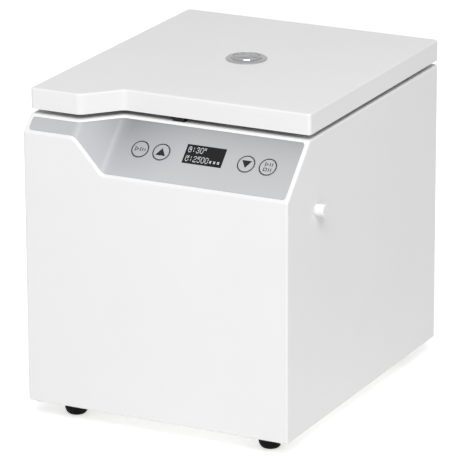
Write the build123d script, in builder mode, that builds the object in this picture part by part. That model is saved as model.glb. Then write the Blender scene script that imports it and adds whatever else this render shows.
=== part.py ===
from build123d import *
import os
from math import atan2, cos, pi, radians, sin, sqrt, tan

# Microplate centrifuge: a bench-top spinner that holds two plates upright beside a central hub.
# +X is to the right of someone facing the front, +Y runs to the back and +Z up, in millimetres.
# The origin is on the bench, under the middle of the whole object's box.

# Body
BODY_H = 266.0
WALL = 3.0
DECK_T = 3.5
SET_BACK_LEFT = 14.0
SET_BACK_RIGHT = 45.0
FOLD_OUT_X = 50.0
FOLD_IN_X = 78.0
BEND_OUT_R = 10.0
BEND_IN_R = 8.0
EDGE_R = 1.8
BACK_EDGE_R = 4.5
FOOT_EDGE_R = 1.0

# Lid
LID_GAP = 4.5
LID_H = 19.0
LID_WALL = 2.5
LID_TOP_T = 3.0
LID_EDGE_R = 1.6
LID_CORNER_R = 3.0
LINER_T = 1.5
LINER_UP = 1.5
LINER_PLAY = 0.3
LID_POST_R = 5.0
LID_POST_IN = 14.0

# Window in the lid
WINDOW_R = 18.75
WINDOW_THROAT_R = 14.4
WINDOW_TUBE_T = 1.0
WINDOW_FLANGE_T = 1.4
WINDOW_SEAT_R = 15.8
WINDOW_SEAT_DEPTH = 2.5
LENS_DOME_H = 3.2
LENS_PLAY = 0.1
PRESS_PLAY = 0.05

# Feet
FOOT_H = 17.5
FOOT_TOP_R = 11.0
FOOT_TOE_R = 7.4
FOOT_SHOULDER_H = 9.0
FOOT_IN_X = 32.0
FOOT_IN_Y = 31.5
FOOT_RECESS_R = 4.8
FOOT_RECESS_H = 6.0

# Chamber, and the room that the body leaves round it
BOWL_R = 115.0
BODY_SIDE_ROOM = 15.0
BODY_END_ROOM = 22.5
BOWL_T = 1.5
BOWL_DEPTH = 116.0
BOWL_FLANGE_W = 6.5
BOWL_FLANGE_T = 1.2
BOWL_HOLE_R = 12.0
BOWL_LIP_H = 6.0
BOWL_FLOOR_R = 6.0
BOWL_PLAY = 0.3
GASKET_OUT = 1.9
GASKET_W = 3.0
GASKET_PLAY = 0.3

# Rotor
SHAFT_R = 4.0
YOKE_T = 5.0
YOKE_UP = 8.0
YOKE_LAP = 1.0
YOKE_HALF_Y = 50.0
YOKE_CORNER_R = 14.0
HUB_R = 20.0
HUB_H = 36.0
HUB_CHAMFER = 1.0
ROTOR_ROOM = 7.86
POCKET_T = 22.0
POCKET_L = 129.5
POCKET_WALL = 3.0
POCKET_FLOOR = 3.0
POCKET_H = 62.0
POCKET_NOTCH_W = 70.0
POCKET_NOTCH_H = 22.0
POCKET_CORNER_R = 3.0
ROTOR_NUT_R = 13.0
ROTOR_NUT_H = 16.0
ROTOR_NUT_CAP_T = 3.0
ROTOR_NUT_GRIPS = 8
ROTOR_NUT_GRIP_R = 2.5
HOLDER_SCREW_SIDE = 25.0

# Motor and its mounting
MOTOR_R = 33.0
MOTOR_WALL = 2.0
MOTOR_H = 66.0
MOTOR_TOP_T = 10.0
MOTOR_CAP_T = 3.0
BEARING_R = 11.0
BEARING_T = 7.0
STATOR_T = 6.0
STATOR_H = 36.0
STATOR_UP = 15.0
AIR_GAP = 0.5
SHAFT_HOLE_R = 5.5
MOTOR_PLATE_T = 3.0
MOTOR_PLATE_HALF = 68.0
MOTOR_PLATE_DROP = 16.5
MOTOR_PLATE_HOLE_R = 7.0
MOTOR_SCREW_R = 22.0
PILLAR_R = 6.0
PILLAR_AT = 55.0
STUD_R = 3.0
STUD_PLAY = 0.1
STUD_END = 1.0
DAMPER_R = 11.0
DAMPER_H = 10.0
DAMPER_NUT_R = 5.5
DAMPER_NUT_H = 4.5
BOOT_IN_R = 6.5
BOOT_PLAY = 0.3
SHAFT_END_GAP = 0.3

# Bottom and back
BASE_T = 2.5
BASE_PLAY = 0.3
BOSS_R = 5.0
BOSS_H = 16.0
BOSS_IN = 7.5
VENT_W = 46.0
VENT_H = 3.0
VENT_STEP = 9.0
VENT_COLUMN_STEP = 64.4
VENT_ROWS = 8
VENT_COLUMNS = 2
VENT_UP = 130.0
REAR_IN = 14.0
REAR_LOW = 10.0
REAR_TOP = 196.0
REAR_T = 1.5
REAR_LAP = 8.0
REAR_PLAY = 0.2

# Mains inlet and power switch
INLET_IN = 60.0
INLET_UP = 42.0
INLET_FLANGE_W = 50.0
INLET_FLANGE_H = 28.0
INLET_FLANGE_T = 3.0
INLET_BODY_W = 31.0
INLET_BODY_H = 23.5
INLET_BODY_D = 24.0
SOCKET_W = 24.6
SOCKET_H = 16.6
SOCKET_D = 17.0
SOCKET_CHAMFER = 3.5
PIN_W = 2.0
PIN_H = 4.0
PIN_L = 11.5
PIN_SPREAD = 7.0
PIN_RISE = 2.0
SWITCH_BESIDE = 50.0
SWITCH_W = 21.0
SWITCH_H = 28.0
SWITCH_BEZEL_T = 2.0
SWITCH_BODY_W = 19.0
SWITCH_BODY_H = 26.0
SWITCH_BODY_D = 16.0
ROCKER_R = 11.5
ROCKER_W = 15.0
ROCKER_PLAY = 0.4
ROCKER_IN = 3.5
ROCKER_TILT = 10.0
ROCKER_NOSE = 4.5
ROCKER_TAIL = 3.0
ROCKER_PIN_R = 1.5
ROCKER_PIN_L = 1.2
RUN_PLAY = 0.06

# Power board
POWER_W = 110.0
POWER_D = 56.0
POWER_X = 18.0
POWER_BACK = 14.0
BOARD_T = 1.6
SPACER_R = 3.0
SPACER_H = 6.0
TRANSFORMER_W = 34.0
TRANSFORMER_H = 26.0
CAPACITOR_R = 9.0
CAPACITOR_H = 24.0
HEAT_SINK_T = 5.0
POWER_HOLE_IN = 6.6

# Hinges at the back
HINGE_SPREAD = 75.0
HINGE_W = 44.0
HINGE_LEAF_T = 2.0
HINGE_KNUCKLE_R = 3.5
HINGE_PIN_R = 1.5
HINGE_KNUCKLE_L = 12.0
HINGE_GAP = 0.3
HINGE_LEAF_DOWN = 33.0
HINGE_LEAF_UP = 17.5
HINGE_PIN_HEAD_R = 2.3
HINGE_PIN_HEAD_T = 1.0

# Latch and its release
HOOK_W = 11.0
HOOK_T = 4.5
HOOK_FRONT_IN = 3.4
HOOK_DROP = 25.0
HOOK_NOTCH_W = 3.5
HOOK_NOTCH_LOW = 5.5
HOOK_NOTCH_H = 6.5
HOOK_FLANGE_T = 1.5
HOOK_FLANGE_HALF = 14.0
HOOK_FLANGE_D = 12.0
SLOT_FRONT_PLAY = 1.1
SLOT_PLAY = 1.0
LEAF_T = 0.6
LEAF_W = 14.0
LEAF_IN = 0.2
LEAF_CLEAR = 2.5
LEAF_NOSE_L = 5.6
LEAF_GAP = 0.3
BRACKET_T = 2.0
BRACKET_W = 16.0
BRACKET_AHEAD = 0.8
BRACKET_LEFT = 27.0
BRACKET_RIGHT = 13.0
BRACKET_DROP = 98.0
BRACKET_GUIDE_DROP = 74.0
BRACKET_CLAMP_H = 16.0
BUTTON_R = 5.8
BUTTON_OUT = 8.6
BUTTON_Y = 58.8
BUTTON_UP = 199.3
BUTTON_ROUND = 0.8
BUTTON_TAIL = 10.0
BUTTON_PLAY = 0.08
COLLAR_R = 7.5
COLLAR_T = 2.0
ROD_R = 3.0
GUIDE_R = 11.0
GUIDE_FLANGE_R = 14.0
GUIDE_FLANGE_T = 3.0
GUIDE_L = 36.0
GUIDE_WALL = 2.0
SPRING_IN_R = 4.5
SPRING_OUT_R = 5.8
LID_SWITCH_W = 6.4
LID_SWITCH_D = 14.0
LID_SWITCH_H = 10.0
BRACKET_SCREW_L = 4.4

# Control panel on the slope; depths are measured square to the slope
OVERLAY_TOP = 0.4
OVERLAY_T = 0.8
OVERLAY_SIDE = 4.0
OVERLAY_LOW = 2.4
OVERLAY_HIGH = 2.2
OVERLAY_PLAY = 0.15
OVERLAY_CORNER_R = 2.5
KEY_DOWN = 31.0
KEY_FIRST_X = 104.7
KEY_LAST_IN = 30.3
KEY_STEP = 21.0
KEY_R = 8.3
KEY_PLAY = 0.3
KEY_PROUD = 0.2
KEY_RIM = 1.1
KEY_RIM_T = 1.0
KEY_SEAT = 0.05
KEY_TRAVEL = 0.5
DISPLAY_LEFT = 0.05
DISPLAY_DOWN = 28.85
DISPLAY_W = 38.3
DISPLAY_H = 18.9
DISPLAY_LEDGE = 1.5
DISPLAY_PLAY = 0.05
MODULE_W = 42.0
MODULE_H = 22.0
MODULE_T = 2.2
HEADER_W = 10.0
HEADER_D = 2.5
BOARD_LEFT_X = 90.0
BOARD_SIDE = 14.0
BOARD_TOP_DOWN = 14.0
BOARD_FOOT_DOWN = 56.0
BOARD_DEPTH = 8.5
BOARD_POST_IN = 4.0
BOARD_POST_R = 3.2
TACT_SIZE = 12.0
TACT_H = 2.6
TACT_STEM_R = 1.8

# Small screws, pan head, of two sizes
SMALL_HEAD_R = 2.75
SMALL_HEAD_H = 1.8
SMALL_R = 1.5
SMALL_L = 8.0
LARGE_HEAD_R = 4.0
LARGE_HEAD_H = 2.4
LARGE_R = 2.0
LARGE_L = 9.0
FOOT_SCREW_L = 14.0
SCREW_PLAY = 0.1

# Sizes and places that follow from those above
BODY_W = 2 * (BOWL_R + BODY_SIDE_ROOM)
BODY_D = SET_BACK_RIGHT + 2 * (BOWL_R + BODY_END_ROOM)
BOWL_FLANGE_R = BOWL_R + BOWL_FLANGE_W
GASKET_IN_R = BOWL_R + GASKET_OUT
POCKET_OUT_R = sqrt((BOWL_R - ROTOR_ROOM) ** 2 - (POCKET_L / 2 + POCKET_WALL) ** 2)
POCKET_IN_R = POCKET_OUT_R - POCKET_WALL - POCKET_T
YOKE_HALF_X = POCKET_OUT_R + YOKE_LAP
HOLDER_SCREW_X = POCKET_IN_R + POCKET_T / 2
INLET_X = BODY_W - INLET_IN
SWITCH_X = INLET_X - SWITCH_BESIDE
KEY_LAST_X = BODY_W - KEY_LAST_IN
DISPLAY_X = (KEY_FIRST_X + KEY_LAST_X) / 2 - DISPLAY_LEFT
BOARD_RIGHT_X = BODY_W - BOARD_SIDE
SLANT = sqrt(2.0)
HINGE_OUT = HINGE_GAP + 2 * HINGE_KNUCKLE_R
X_MID = -BUTTON_OUT / 2
X_LEFT = X_MID - BODY_W / 2
X_RIGHT = X_MID + BODY_W / 2
Y_FRONT = -(BODY_D + HINGE_OUT) / 2
Y_BACK = Y_FRONT + BODY_D
Y_MID = Y_FRONT + BODY_D / 2
Z_BASE = FOOT_H
Z_DECK = Z_BASE + BODY_H
Z_LID = Z_DECK + LID_GAP
Z_TOP = Z_LID + LID_H
Z_LINER = Z_LID + LINER_UP
WINDOW_TUBE_R = WINDOW_SEAT_R + LENS_PLAY + WINDOW_TUBE_T
Z_UNDER_DECK = Z_DECK - DECK_T
Z_BASE_TOP = Z_BASE + BASE_T
FOLD_ANGLE = atan2(SET_BACK_RIGHT - SET_BACK_LEFT, FOLD_IN_X - FOLD_OUT_X)
AXIS_X = X_MID
AXIS_Y = (Y_FRONT + SET_BACK_RIGHT + Y_BACK) / 2
HINGE_Y = Y_BACK + HINGE_GAP + HINGE_KNUCKLE_R
HINGE_Z = Z_DECK + LID_GAP / 2

Z_BOWL = Z_DECK - BOWL_DEPTH
Z_YOKE = Z_BOWL + YOKE_UP
Z_YOKE_TOP = Z_YOKE + YOKE_T
Z_POCKET = Z_YOKE_TOP + POCKET_FLOOR
Z_HUB_TOP = Z_YOKE_TOP + HUB_H
Z_MOTOR_PLATE = Z_BOWL - MOTOR_PLATE_DROP
Z_MOTOR_LOW = Z_MOTOR_PLATE - MOTOR_H
Z_MOTOR_IN_TOP = Z_MOTOR_PLATE - MOTOR_TOP_T
Z_DAMPER = Z_MOTOR_PLATE - DAMPER_H

DOWN_SLOPE = (0, -1, -1)
SLOPE_REACH = SET_BACK_RIGHT * 2 * SLANT
UP = Align.MIN
DOWN = Align.MAX
MIDDLE = Align.CENTER
ON_TOP = (MIDDLE, MIDDLE, UP)
BELOW = (MIDDLE, MIDDLE, DOWN)


def front_line(inset, left, right):
    """Corners of the deck's stepped front edge, moved back by inset, from one x to another."""
    shift = inset * tan(FOLD_ANGLE / 2)
    y_left = Y_FRONT + SET_BACK_LEFT + inset
    y_right = Y_FRONT + SET_BACK_RIGHT + inset
    outer = (X_LEFT + FOLD_OUT_X - shift, y_left)
    inner = (X_LEFT + FOLD_IN_X - shift, y_right)
    return [(left, y_left), outer, inner, (right, y_right)]


def fold_radii(inset):
    """Radii of the two folds of the front line, moved back by inset."""
    return [max(BEND_OUT_R - inset, 1.0), BEND_IN_R + inset]


def plan_of(height, corners, radii):
    """A flat outline at a height, with a radius for each corner."""
    with BuildSketch(Plane.XY.offset(height), mode=Mode.PRIVATE) as plan:
        with BuildLine():
            FilletPolyline(*corners, radius=radii, close=True)
        make_face()
    return plan.sketch


def deck_plan(height, inset, front_r=0.0, back_r=0.0):
    """Plan of the deck, drawn in by inset all round, with radii for its front and back corners."""
    line = front_line(inset, X_LEFT + inset, X_RIGHT - inset)
    back = [(X_RIGHT - inset, Y_BACK - inset), (X_LEFT + inset, Y_BACK - inset)]
    radii = [front_r, *fold_radii(inset), front_r, back_r, back_r]
    return plan_of(height, line + back, radii)


def ahead_of_deck(inset):
    """Plan, at the deck's height, of all that lies in front of the stepped front edge."""
    reach = BODY_W / 2
    line = front_line(inset, X_LEFT - reach, X_RIGHT + reach)
    front = [(X_RIGHT + reach, Y_FRONT - reach), (X_LEFT - reach, Y_FRONT - reach)]
    return plan_of(Z_DECK, line + front, [0.0, *fold_radii(inset), 0.0, 0.0, 0.0])


def slope_sheet(top, thickness, grow):
    """A folded sheet under the slope, with rounded corners, grown outwards by a margin."""
    near = top * SLANT
    far = (top + thickness) * SLANT
    left = X_LEFT + OVERLAY_SIDE - grow
    right = X_RIGHT - OVERLAY_SIDE + grow
    corners = front_line(near, left, right) + front_line(far, left, right)[::-1]
    folds = fold_radii(near) + [0.0, 0.0] + fold_radii(far)[::-1]
    high_z = Z_DECK - OVERLAY_HIGH + grow
    low_z_left = Z_DECK - SET_BACK_LEFT + OVERLAY_LOW - grow
    low_z_right = Z_DECK - SET_BACK_RIGHT + OVERLAY_LOW - grow
    seen_from_front = [(left, low_z_left), (X_LEFT + FOLD_OUT_X, low_z_left),
                       (X_LEFT + FOLD_IN_X, low_z_right), (right, low_z_right),
                       (right, high_z), (left, high_z)]
    corner_r = OVERLAY_CORNER_R + grow
    with BuildPart(mode=Mode.PRIVATE) as sheet:
        extrude(plan_of(Z_DECK, corners, [0.0, *folds, 0.0]), amount=SLOPE_REACH, dir=DOWN_SLOPE)
        with BuildSketch(Plane(origin=(0, Y_FRONT, 0), x_dir=(1, 0, 0), z_dir=(0, -1, 0))):
            with BuildLine():
                FilletPolyline(*seen_from_front, close=True,
                               radius=[corner_r, *fold_radii(0.0), corner_r, corner_r, corner_r])
            make_face()
        extrude(amount=-SLOPE_REACH, mode=Mode.INTERSECT)
    return sheet.part


def panel_plane(depth):
    """The plane of the right-hand slope at a depth under it; its -Y runs down the slope."""
    at_edge = Plane(origin=(X_LEFT, Y_FRONT + SET_BACK_RIGHT, Z_DECK), x_dir=(1, 0, 0), z_dir=(0, -1, 1))
    return at_edge.offset(-depth)


def panel_spot(x, down, depth):
    """A place on the right-hand slope: x from the left side, down from the deck, and a depth."""
    return panel_plane(depth).location * Location((x, -down, 0))


def pan_head(head_r, head_h, shank_r, length):
    """A pan-head screw standing on the plane in use, its shank going down through it."""
    Cylinder(head_r, head_h, align=ON_TOP)
    Cylinder(shank_r, length, align=BELOW)


# Places of the screws and other repeated features
BOSS_X = BODY_W / 2 - BOSS_IN
BOSS_ROWS = [Y_FRONT + BOSS_IN, Y_MID, Y_BACK - BOSS_IN]
BOSS_SPOTS = [(X_MID + side * BOSS_X, y) for side in (-1, 1) for y in BOSS_ROWS]
PILLAR_SPOTS = [(AXIS_X + i * PILLAR_AT, AXIS_Y + j * PILLAR_AT) for i in (-1, 1) for j in (-1, 1)]
FOOT_SPOTS = [(X_MID + i * (BODY_W / 2 - FOOT_IN_X), Y_MID + j * (BODY_D / 2 - FOOT_IN_Y))
              for i in (-1, 1) for j in (-1, 1)]
LID_POST_SPOTS = [
    (X_LEFT + LID_POST_IN, Y_FRONT + SET_BACK_LEFT + LID_POST_IN),
    (X_RIGHT - LID_POST_IN, Y_FRONT + SET_BACK_RIGHT + LID_POST_IN),
    (X_LEFT + LID_POST_IN, Y_BACK - LID_POST_IN),
    (X_RIGHT - LID_POST_IN, Y_BACK - LID_POST_IN),
    (AXIS_X, Y_BACK - LID_POST_IN),
]
REAR_MID_Z = Z_BASE + (REAR_LOW + REAR_TOP) / 2
REAR_W = BODY_W - 2 * REAR_IN
REAR_H = REAR_TOP - REAR_LOW
REAR_SPOTS = [(X_MID + i * (REAR_W - REAR_LAP) / 2, REAR_MID_Z + j * (REAR_H - REAR_LAP) / 2)
              for i in (-1, 0, 1) for j in (-1, 1)]
HINGE_XS = [AXIS_X - HINGE_SPREAD, AXIS_X + HINGE_SPREAD]
HINGE_SCREW_X = HINGE_W / 2 - 2 * SMALL_HEAD_R
HINGE_BODY_SPOTS = [(x + side * HINGE_SCREW_X, HINGE_Z - HINGE_LEAF_DOWN * 2 / 3)
                    for x in HINGE_XS for side in (-1, 1)]
HINGE_LID_SPOTS = [(x + side * HINGE_SCREW_X, HINGE_Z + HINGE_LEAF_UP * 0.6)
                   for x in HINGE_XS for side in (-1, 1)]
HOOK_Y = Y_FRONT + SET_BACK_RIGHT + HOOK_FRONT_IN
Z_HOOK = Z_LID - HOOK_DROP
HOOK_SCREW_Y = HOOK_Y + HOOK_FLANGE_D * 0.6
HOOK_SCREW_X = HOOK_FLANGE_HALF - 1.5 * SMALL_HEAD_R
HOOK_SCREW_SPOTS = [(X_MID + side * HOOK_SCREW_X, HOOK_SCREW_Y) for side in (-1, 1)]
BRACKET_Y = HOOK_Y - BRACKET_AHEAD
BRACKET_SCREW_Y = BRACKET_Y + BRACKET_W - 2 * SMALL_HEAD_R
LEAF_RIGHT_X = X_MID - HOOK_W / 2 - LEAF_CLEAR
BRACKET_SPOTS = [(X_MID - BRACKET_LEFT + 2.5 * SMALL_HEAD_R, BRACKET_SCREW_Y),
                 (X_MID + BRACKET_RIGHT - 1.2 * SMALL_HEAD_R, BRACKET_SCREW_Y)]
BUTTON_Z = Z_BASE + BUTTON_UP
RELEASE_Y = Y_FRONT + BUTTON_Y
BUTTON_TAIL_X = X_RIGHT - BUTTON_TAIL
COLLAR_X = BUTTON_TAIL_X - COLLAR_T
GUIDE_X = X_RIGHT - WALL
HOLDER_SCREW_SPOTS = [(AXIS_X + i * HOLDER_SCREW_X, AXIS_Y + j * HOLDER_SCREW_SIDE)
                      for i in (-1, 1) for j in (-1, 1)]
POWER_MID_X = X_LEFT + POWER_X + POWER_W / 2
POWER_MID_Y = Y_BACK - POWER_BACK - POWER_D / 2
POWER_SPOTS = [(POWER_MID_X + i * (POWER_W / 2 - POWER_HOLE_IN),
                POWER_MID_Y + j * (POWER_D / 2 - POWER_HOLE_IN)) for i in (-1, 1) for j in (-1, 1)]
BOARD_MID_X = (BOARD_LEFT_X + BOARD_RIGHT_X) / 2
BOARD_MID_DOWN = (BOARD_TOP_DOWN + BOARD_FOOT_DOWN) / 2
BOARD_SPOTS = [(x, down) for x in (BOARD_LEFT_X + BOARD_POST_IN, BOARD_RIGHT_X - BOARD_POST_IN)
               for down in (BOARD_TOP_DOWN + BOARD_POST_IN, BOARD_FOOT_DOWN - BOARD_POST_IN)]
KEY_SPOTS = {
    "key_program": KEY_FIRST_X,
    "key_up": KEY_FIRST_X + KEY_STEP,
    "key_down": KEY_LAST_X - KEY_STEP,
    "key_start": KEY_LAST_X,
}


def back_plane(y):
    """A plane that faces backwards at y; its local Y is up."""
    return Plane(origin=(0, y, 0), x_dir=(-1, 0, 0), z_dir=(0, 1, 0))


def on_back(y, spots):
    """Places that face backwards at y, from pairs of x and z."""
    return [back_plane(y).location * Location((-x, z, 0)) for x, z in spots]


def facing_down(z, spots):
    """Places that face downwards at z, from pairs of x and y."""
    under = Plane(origin=(0, 0, z), x_dir=(1, 0, 0), z_dir=(0, 0, -1))
    return [under.location * Location((x, -y, 0)) for x, y in spots]


def facing_up(z, spots):
    """Places that face upwards at z, from pairs of x and y."""
    return [Location((x, y, z)) for x, y in spots]


def behind_board():
    """Places on the hidden side of the control board, at its four screws, facing inwards."""
    turn = Location((0, 0, 0), (180, 0, 0))
    return [panel_spot(x, down, BOARD_DEPTH + BOARD_T) * turn for x, down in BOARD_SPOTS]


def on_panel(depth):
    """Places of the four keys at a depth under the slope."""
    return [panel_spot(x, KEY_DOWN, depth) for x in KEY_SPOTS.values()]


def drill(places, radius, depth):
    """Straight holes that go down from each place."""
    with Locations(*places):
        Cylinder(radius, depth, align=BELOW, mode=Mode.SUBTRACT)


def turned(profile, radii):
    """A solid of revolution about the rotor's axis, from corners of (radius, height)."""
    upright = Plane(origin=(AXIS_X, AXIS_Y, 0), x_dir=(1, 0, 0), z_dir=(0, -1, 0))
    with BuildSketch(upright, mode=Mode.PRIVATE) as section:
        with BuildLine():
            FilletPolyline(*profile, radius=radii, close=True)
        make_face()
    return revolve(section.sketch, Axis((AXIS_X, AXIS_Y, 0), (0, 0, 1)), mode=Mode.PRIVATE)


def rod_along_x(radius, x_from, x_to, y, z, mode=Mode.ADD):
    """A round bar between two x positions."""
    with Locations(Location((x_from, y, z), (0, 90, 0))):
        Cylinder(radius, x_to - x_from, align=ON_TOP, mode=mode)


def block(low, high, mode=Mode.ADD):
    """A box from its low corner to its high corner."""
    with Locations(low):
        Box(high[0] - low[0], high[1] - low[1], high[2] - low[2], align=(UP, UP, UP), mode=mode)


os.makedirs("parts", exist_ok=True)

# Space inside the casing, which follows the slope at the same wall thickness
with BuildPart() as cavity:
    block((X_LEFT + WALL, Y_FRONT + WALL, Z_BASE), (X_RIGHT - WALL, Y_BACK - WALL, Z_UNDER_DECK))
    extrude(ahead_of_deck(WALL * SLANT), amount=SLOPE_REACH, dir=DOWN_SLOPE, mode=Mode.SUBTRACT)

# Casing: one moulding of four walls, a deck and the stepped slope
with BuildPart() as casing:
    with BuildSketch(Plane.XY.offset(Z_BASE)) as footprint:
        with Locations((X_MID, Y_MID)):
            Rectangle(BODY_W, BODY_D)
        fillet(footprint.vertices().group_by(Axis.Y)[-1], BACK_EDGE_R)
    extrude(amount=BODY_H)
    extrude(ahead_of_deck(0.0), amount=SLOPE_REACH, dir=DOWN_SLOPE, mode=Mode.SUBTRACT)
    sloping = casing.faces().filter_by(lambda f: abs(f.normal_at().Z) > 0.3 and abs(f.normal_at().Y) > 0.3)
    deck_rim = casing.faces().sort_by(Axis.Z)[-1].outer_wire().edges()
    slope_rim = sloping.edges().filter_by(lambda e: sum(e.is_same(o) for o in sloping.edges()) == 1)
    slope_rim = slope_rim.filter_by(lambda e: not any(e.is_same(o) for o in deck_rim))
    front_corners = casing.edges().filter_by(Axis.Z).group_by(Axis.Y)[0]
    fillet(deck_rim + slope_rim + front_corners, EDGE_R)
    fillet(casing.faces().sort_by(Axis.Z)[0].outer_wire().edges(), FOOT_EDGE_R)
    add(cavity.part, mode=Mode.SUBTRACT)
    # posts for the base screws and for the control board
    with Locations(*facing_up(Z_BASE_TOP, BOSS_SPOTS)):
        Cylinder(BOSS_R, BOSS_H, align=ON_TOP)
    with Locations(*[panel_spot(x, down, BOARD_DEPTH) for x, down in BOARD_SPOTS]):
        Cylinder(BOARD_POST_R, BOARD_DEPTH - WALL * 0.8, align=ON_TOP)
    # seat of the overlay, key holes and display hole
    add(slope_sheet(-OVERLAY_TOP, 2 * OVERLAY_TOP + OVERLAY_T, OVERLAY_PLAY), mode=Mode.SUBTRACT)
    with Locations(*on_panel(WALL * 2)):
        Cylinder(KEY_R + KEY_PLAY, WALL * 3, align=ON_TOP, mode=Mode.SUBTRACT)
    with Locations(panel_spot(DISPLAY_X, DISPLAY_DOWN, WALL * 2)):
        Box(DISPLAY_W - 2 * DISPLAY_LEDGE, DISPLAY_H - 2 * DISPLAY_LEDGE, WALL * 3, align=ON_TOP,
            mode=Mode.SUBTRACT)
    # chamber hole, slot for the latch hook, hole for the release button
    with Locations((AXIS_X, AXIS_Y, Z_DECK)):
        Cylinder(BOWL_R + BOWL_T + BOWL_PLAY, DECK_T * 2, mode=Mode.SUBTRACT)
    block((X_MID - HOOK_W / 2 - SLOT_PLAY, HOOK_Y - SLOT_FRONT_PLAY, Z_DECK - DECK_T * 2),
          (X_MID + HOOK_W / 2 + SLOT_PLAY, HOOK_Y + HOOK_T + SLOT_PLAY, Z_DECK + DECK_T), Mode.SUBTRACT)
    rod_along_x(BUTTON_R + BUTTON_PLAY * 3, X_RIGHT - WALL * 2, X_RIGHT + WALL, RELEASE_Y, BUTTON_Z,
                Mode.SUBTRACT)
    # rebate and opening for the rear panel
    with Locations(*on_back(Y_BACK, [(X_MID, REAR_MID_Z)])):
        Box(REAR_W + 2 * REAR_PLAY, REAR_H + 2 * REAR_PLAY, REAR_T * 2, mode=Mode.SUBTRACT)
        Box(REAR_W - 2 * REAR_LAP, REAR_H - 2 * REAR_LAP, WALL * 4, mode=Mode.SUBTRACT)
    # screw holes
    drill(facing_down(Z_BASE, BOSS_SPOTS), LARGE_R + SCREW_PLAY, LARGE_L + SCREW_PLAY)
    drill(on_back(Y_BACK, REAR_SPOTS + HINGE_BODY_SPOTS), SMALL_R + SCREW_PLAY, WALL * 2)
    drill(facing_down(Z_UNDER_DECK, BRACKET_SPOTS), SMALL_R + SCREW_PLAY,
          BRACKET_SCREW_L - BRACKET_T + SCREW_PLAY)
    drill(behind_board(), SMALL_R + SCREW_PLAY, SMALL_L + SCREW_PLAY)
casing.part.label = "casing"
export_step(casing.part, "parts/casing.step")

# Rear panel: painted steel, let into the back wall, with vents and two cut-outs
with BuildPart() as rear_panel:
    with Locations(*on_back(Y_BACK, [(X_MID, REAR_MID_Z)])):
        Box(REAR_W, REAR_H, REAR_T, align=BELOW)
    with Locations(*on_back(Y_BACK, [(X_LEFT + INLET_X, Z_BASE + INLET_UP)])):
        Box(INLET_BODY_W + 2 * REAR_PLAY, INLET_BODY_H + 2 * REAR_PLAY, REAR_T * 4, mode=Mode.SUBTRACT)
    with Locations(*on_back(Y_BACK, [(X_LEFT + SWITCH_X, Z_BASE + INLET_UP)])):
        Box(SWITCH_BODY_W + 2 * REAR_PLAY, SWITCH_BODY_H + 2 * REAR_PLAY, REAR_T * 4, mode=Mode.SUBTRACT)
    with Locations(*on_back(Y_BACK, [(X_MID, Z_BASE + VENT_UP)])):
        with GridLocations(VENT_COLUMN_STEP, VENT_STEP, VENT_COLUMNS, VENT_ROWS):
            Box(VENT_W, VENT_H, REAR_T * 4, mode=Mode.SUBTRACT)
    drill(on_back(Y_BACK, REAR_SPOTS), SMALL_R + SCREW_PLAY, REAR_T * 2)
rear_panel.part.label = "rear_panel"
export_step(rear_panel.part, "parts/rear_panel.step")

# Base plate: closes the casing from below and carries the motor and the power board
with BuildPart() as base_plate:
    block((X_LEFT + WALL + BASE_PLAY, Y_FRONT + WALL + BASE_PLAY, Z_BASE),
          (X_RIGHT - WALL - BASE_PLAY, Y_BACK - WALL - BASE_PLAY, Z_BASE_TOP))
    with Locations(*facing_up(Z_BASE_TOP, POWER_SPOTS)):
        Cylinder(SPACER_R, SPACER_H, align=ON_TOP)
    with Locations((AXIS_X, AXIS_Y, Z_BASE)):
        with GridLocations(VENT_COLUMN_STEP, VENT_STEP, 1, VENT_ROWS):
            Box(VENT_W, VENT_H, BASE_T * 4, mode=Mode.SUBTRACT)
    drill(facing_up(Z_BASE_TOP, BOSS_SPOTS + PILLAR_SPOTS), LARGE_R + SCREW_PLAY, BASE_T * 2)
    drill(facing_up(Z_BASE_TOP, FOOT_SPOTS), LARGE_R + SCREW_PLAY, BASE_T * 2)
    drill(facing_up(Z_BASE_TOP + SPACER_H, POWER_SPOTS), SMALL_R + SCREW_PLAY, SPACER_H + BASE_T)
base_plate.part.label = "base_plate"
export_step(base_plate.part, "parts/base_plate.step")

# Feet: four rubber feet that narrow towards the bench
with BuildPart() as feet:
    with BuildSketch(Plane.XZ) as foot_section:
        with BuildLine():
            Polyline((0, FOOT_H), (FOOT_TOP_R, FOOT_H), (FOOT_TOP_R, FOOT_H - FOOT_SHOULDER_H))
            Spline((FOOT_TOP_R, FOOT_H - FOOT_SHOULDER_H), (FOOT_TOE_R, 0),
                   tangents=((0, -1), (-1, -0.7)))
            Polyline((FOOT_TOE_R, 0), (0, 0), (0, FOOT_H))
        make_face()
    foot = revolve(axis=Axis.Z, mode=Mode.PRIVATE)
    with Locations(*FOOT_SPOTS):
        add(foot)
    drill(facing_down(0, FOOT_SPOTS), FOOT_RECESS_R, FOOT_RECESS_H)
    drill(facing_down(0, FOOT_SPOTS), LARGE_R + SCREW_PLAY, FOOT_H)
feet.part.label = "feet"
export_step(feet.part, "parts/feet.step")

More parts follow.
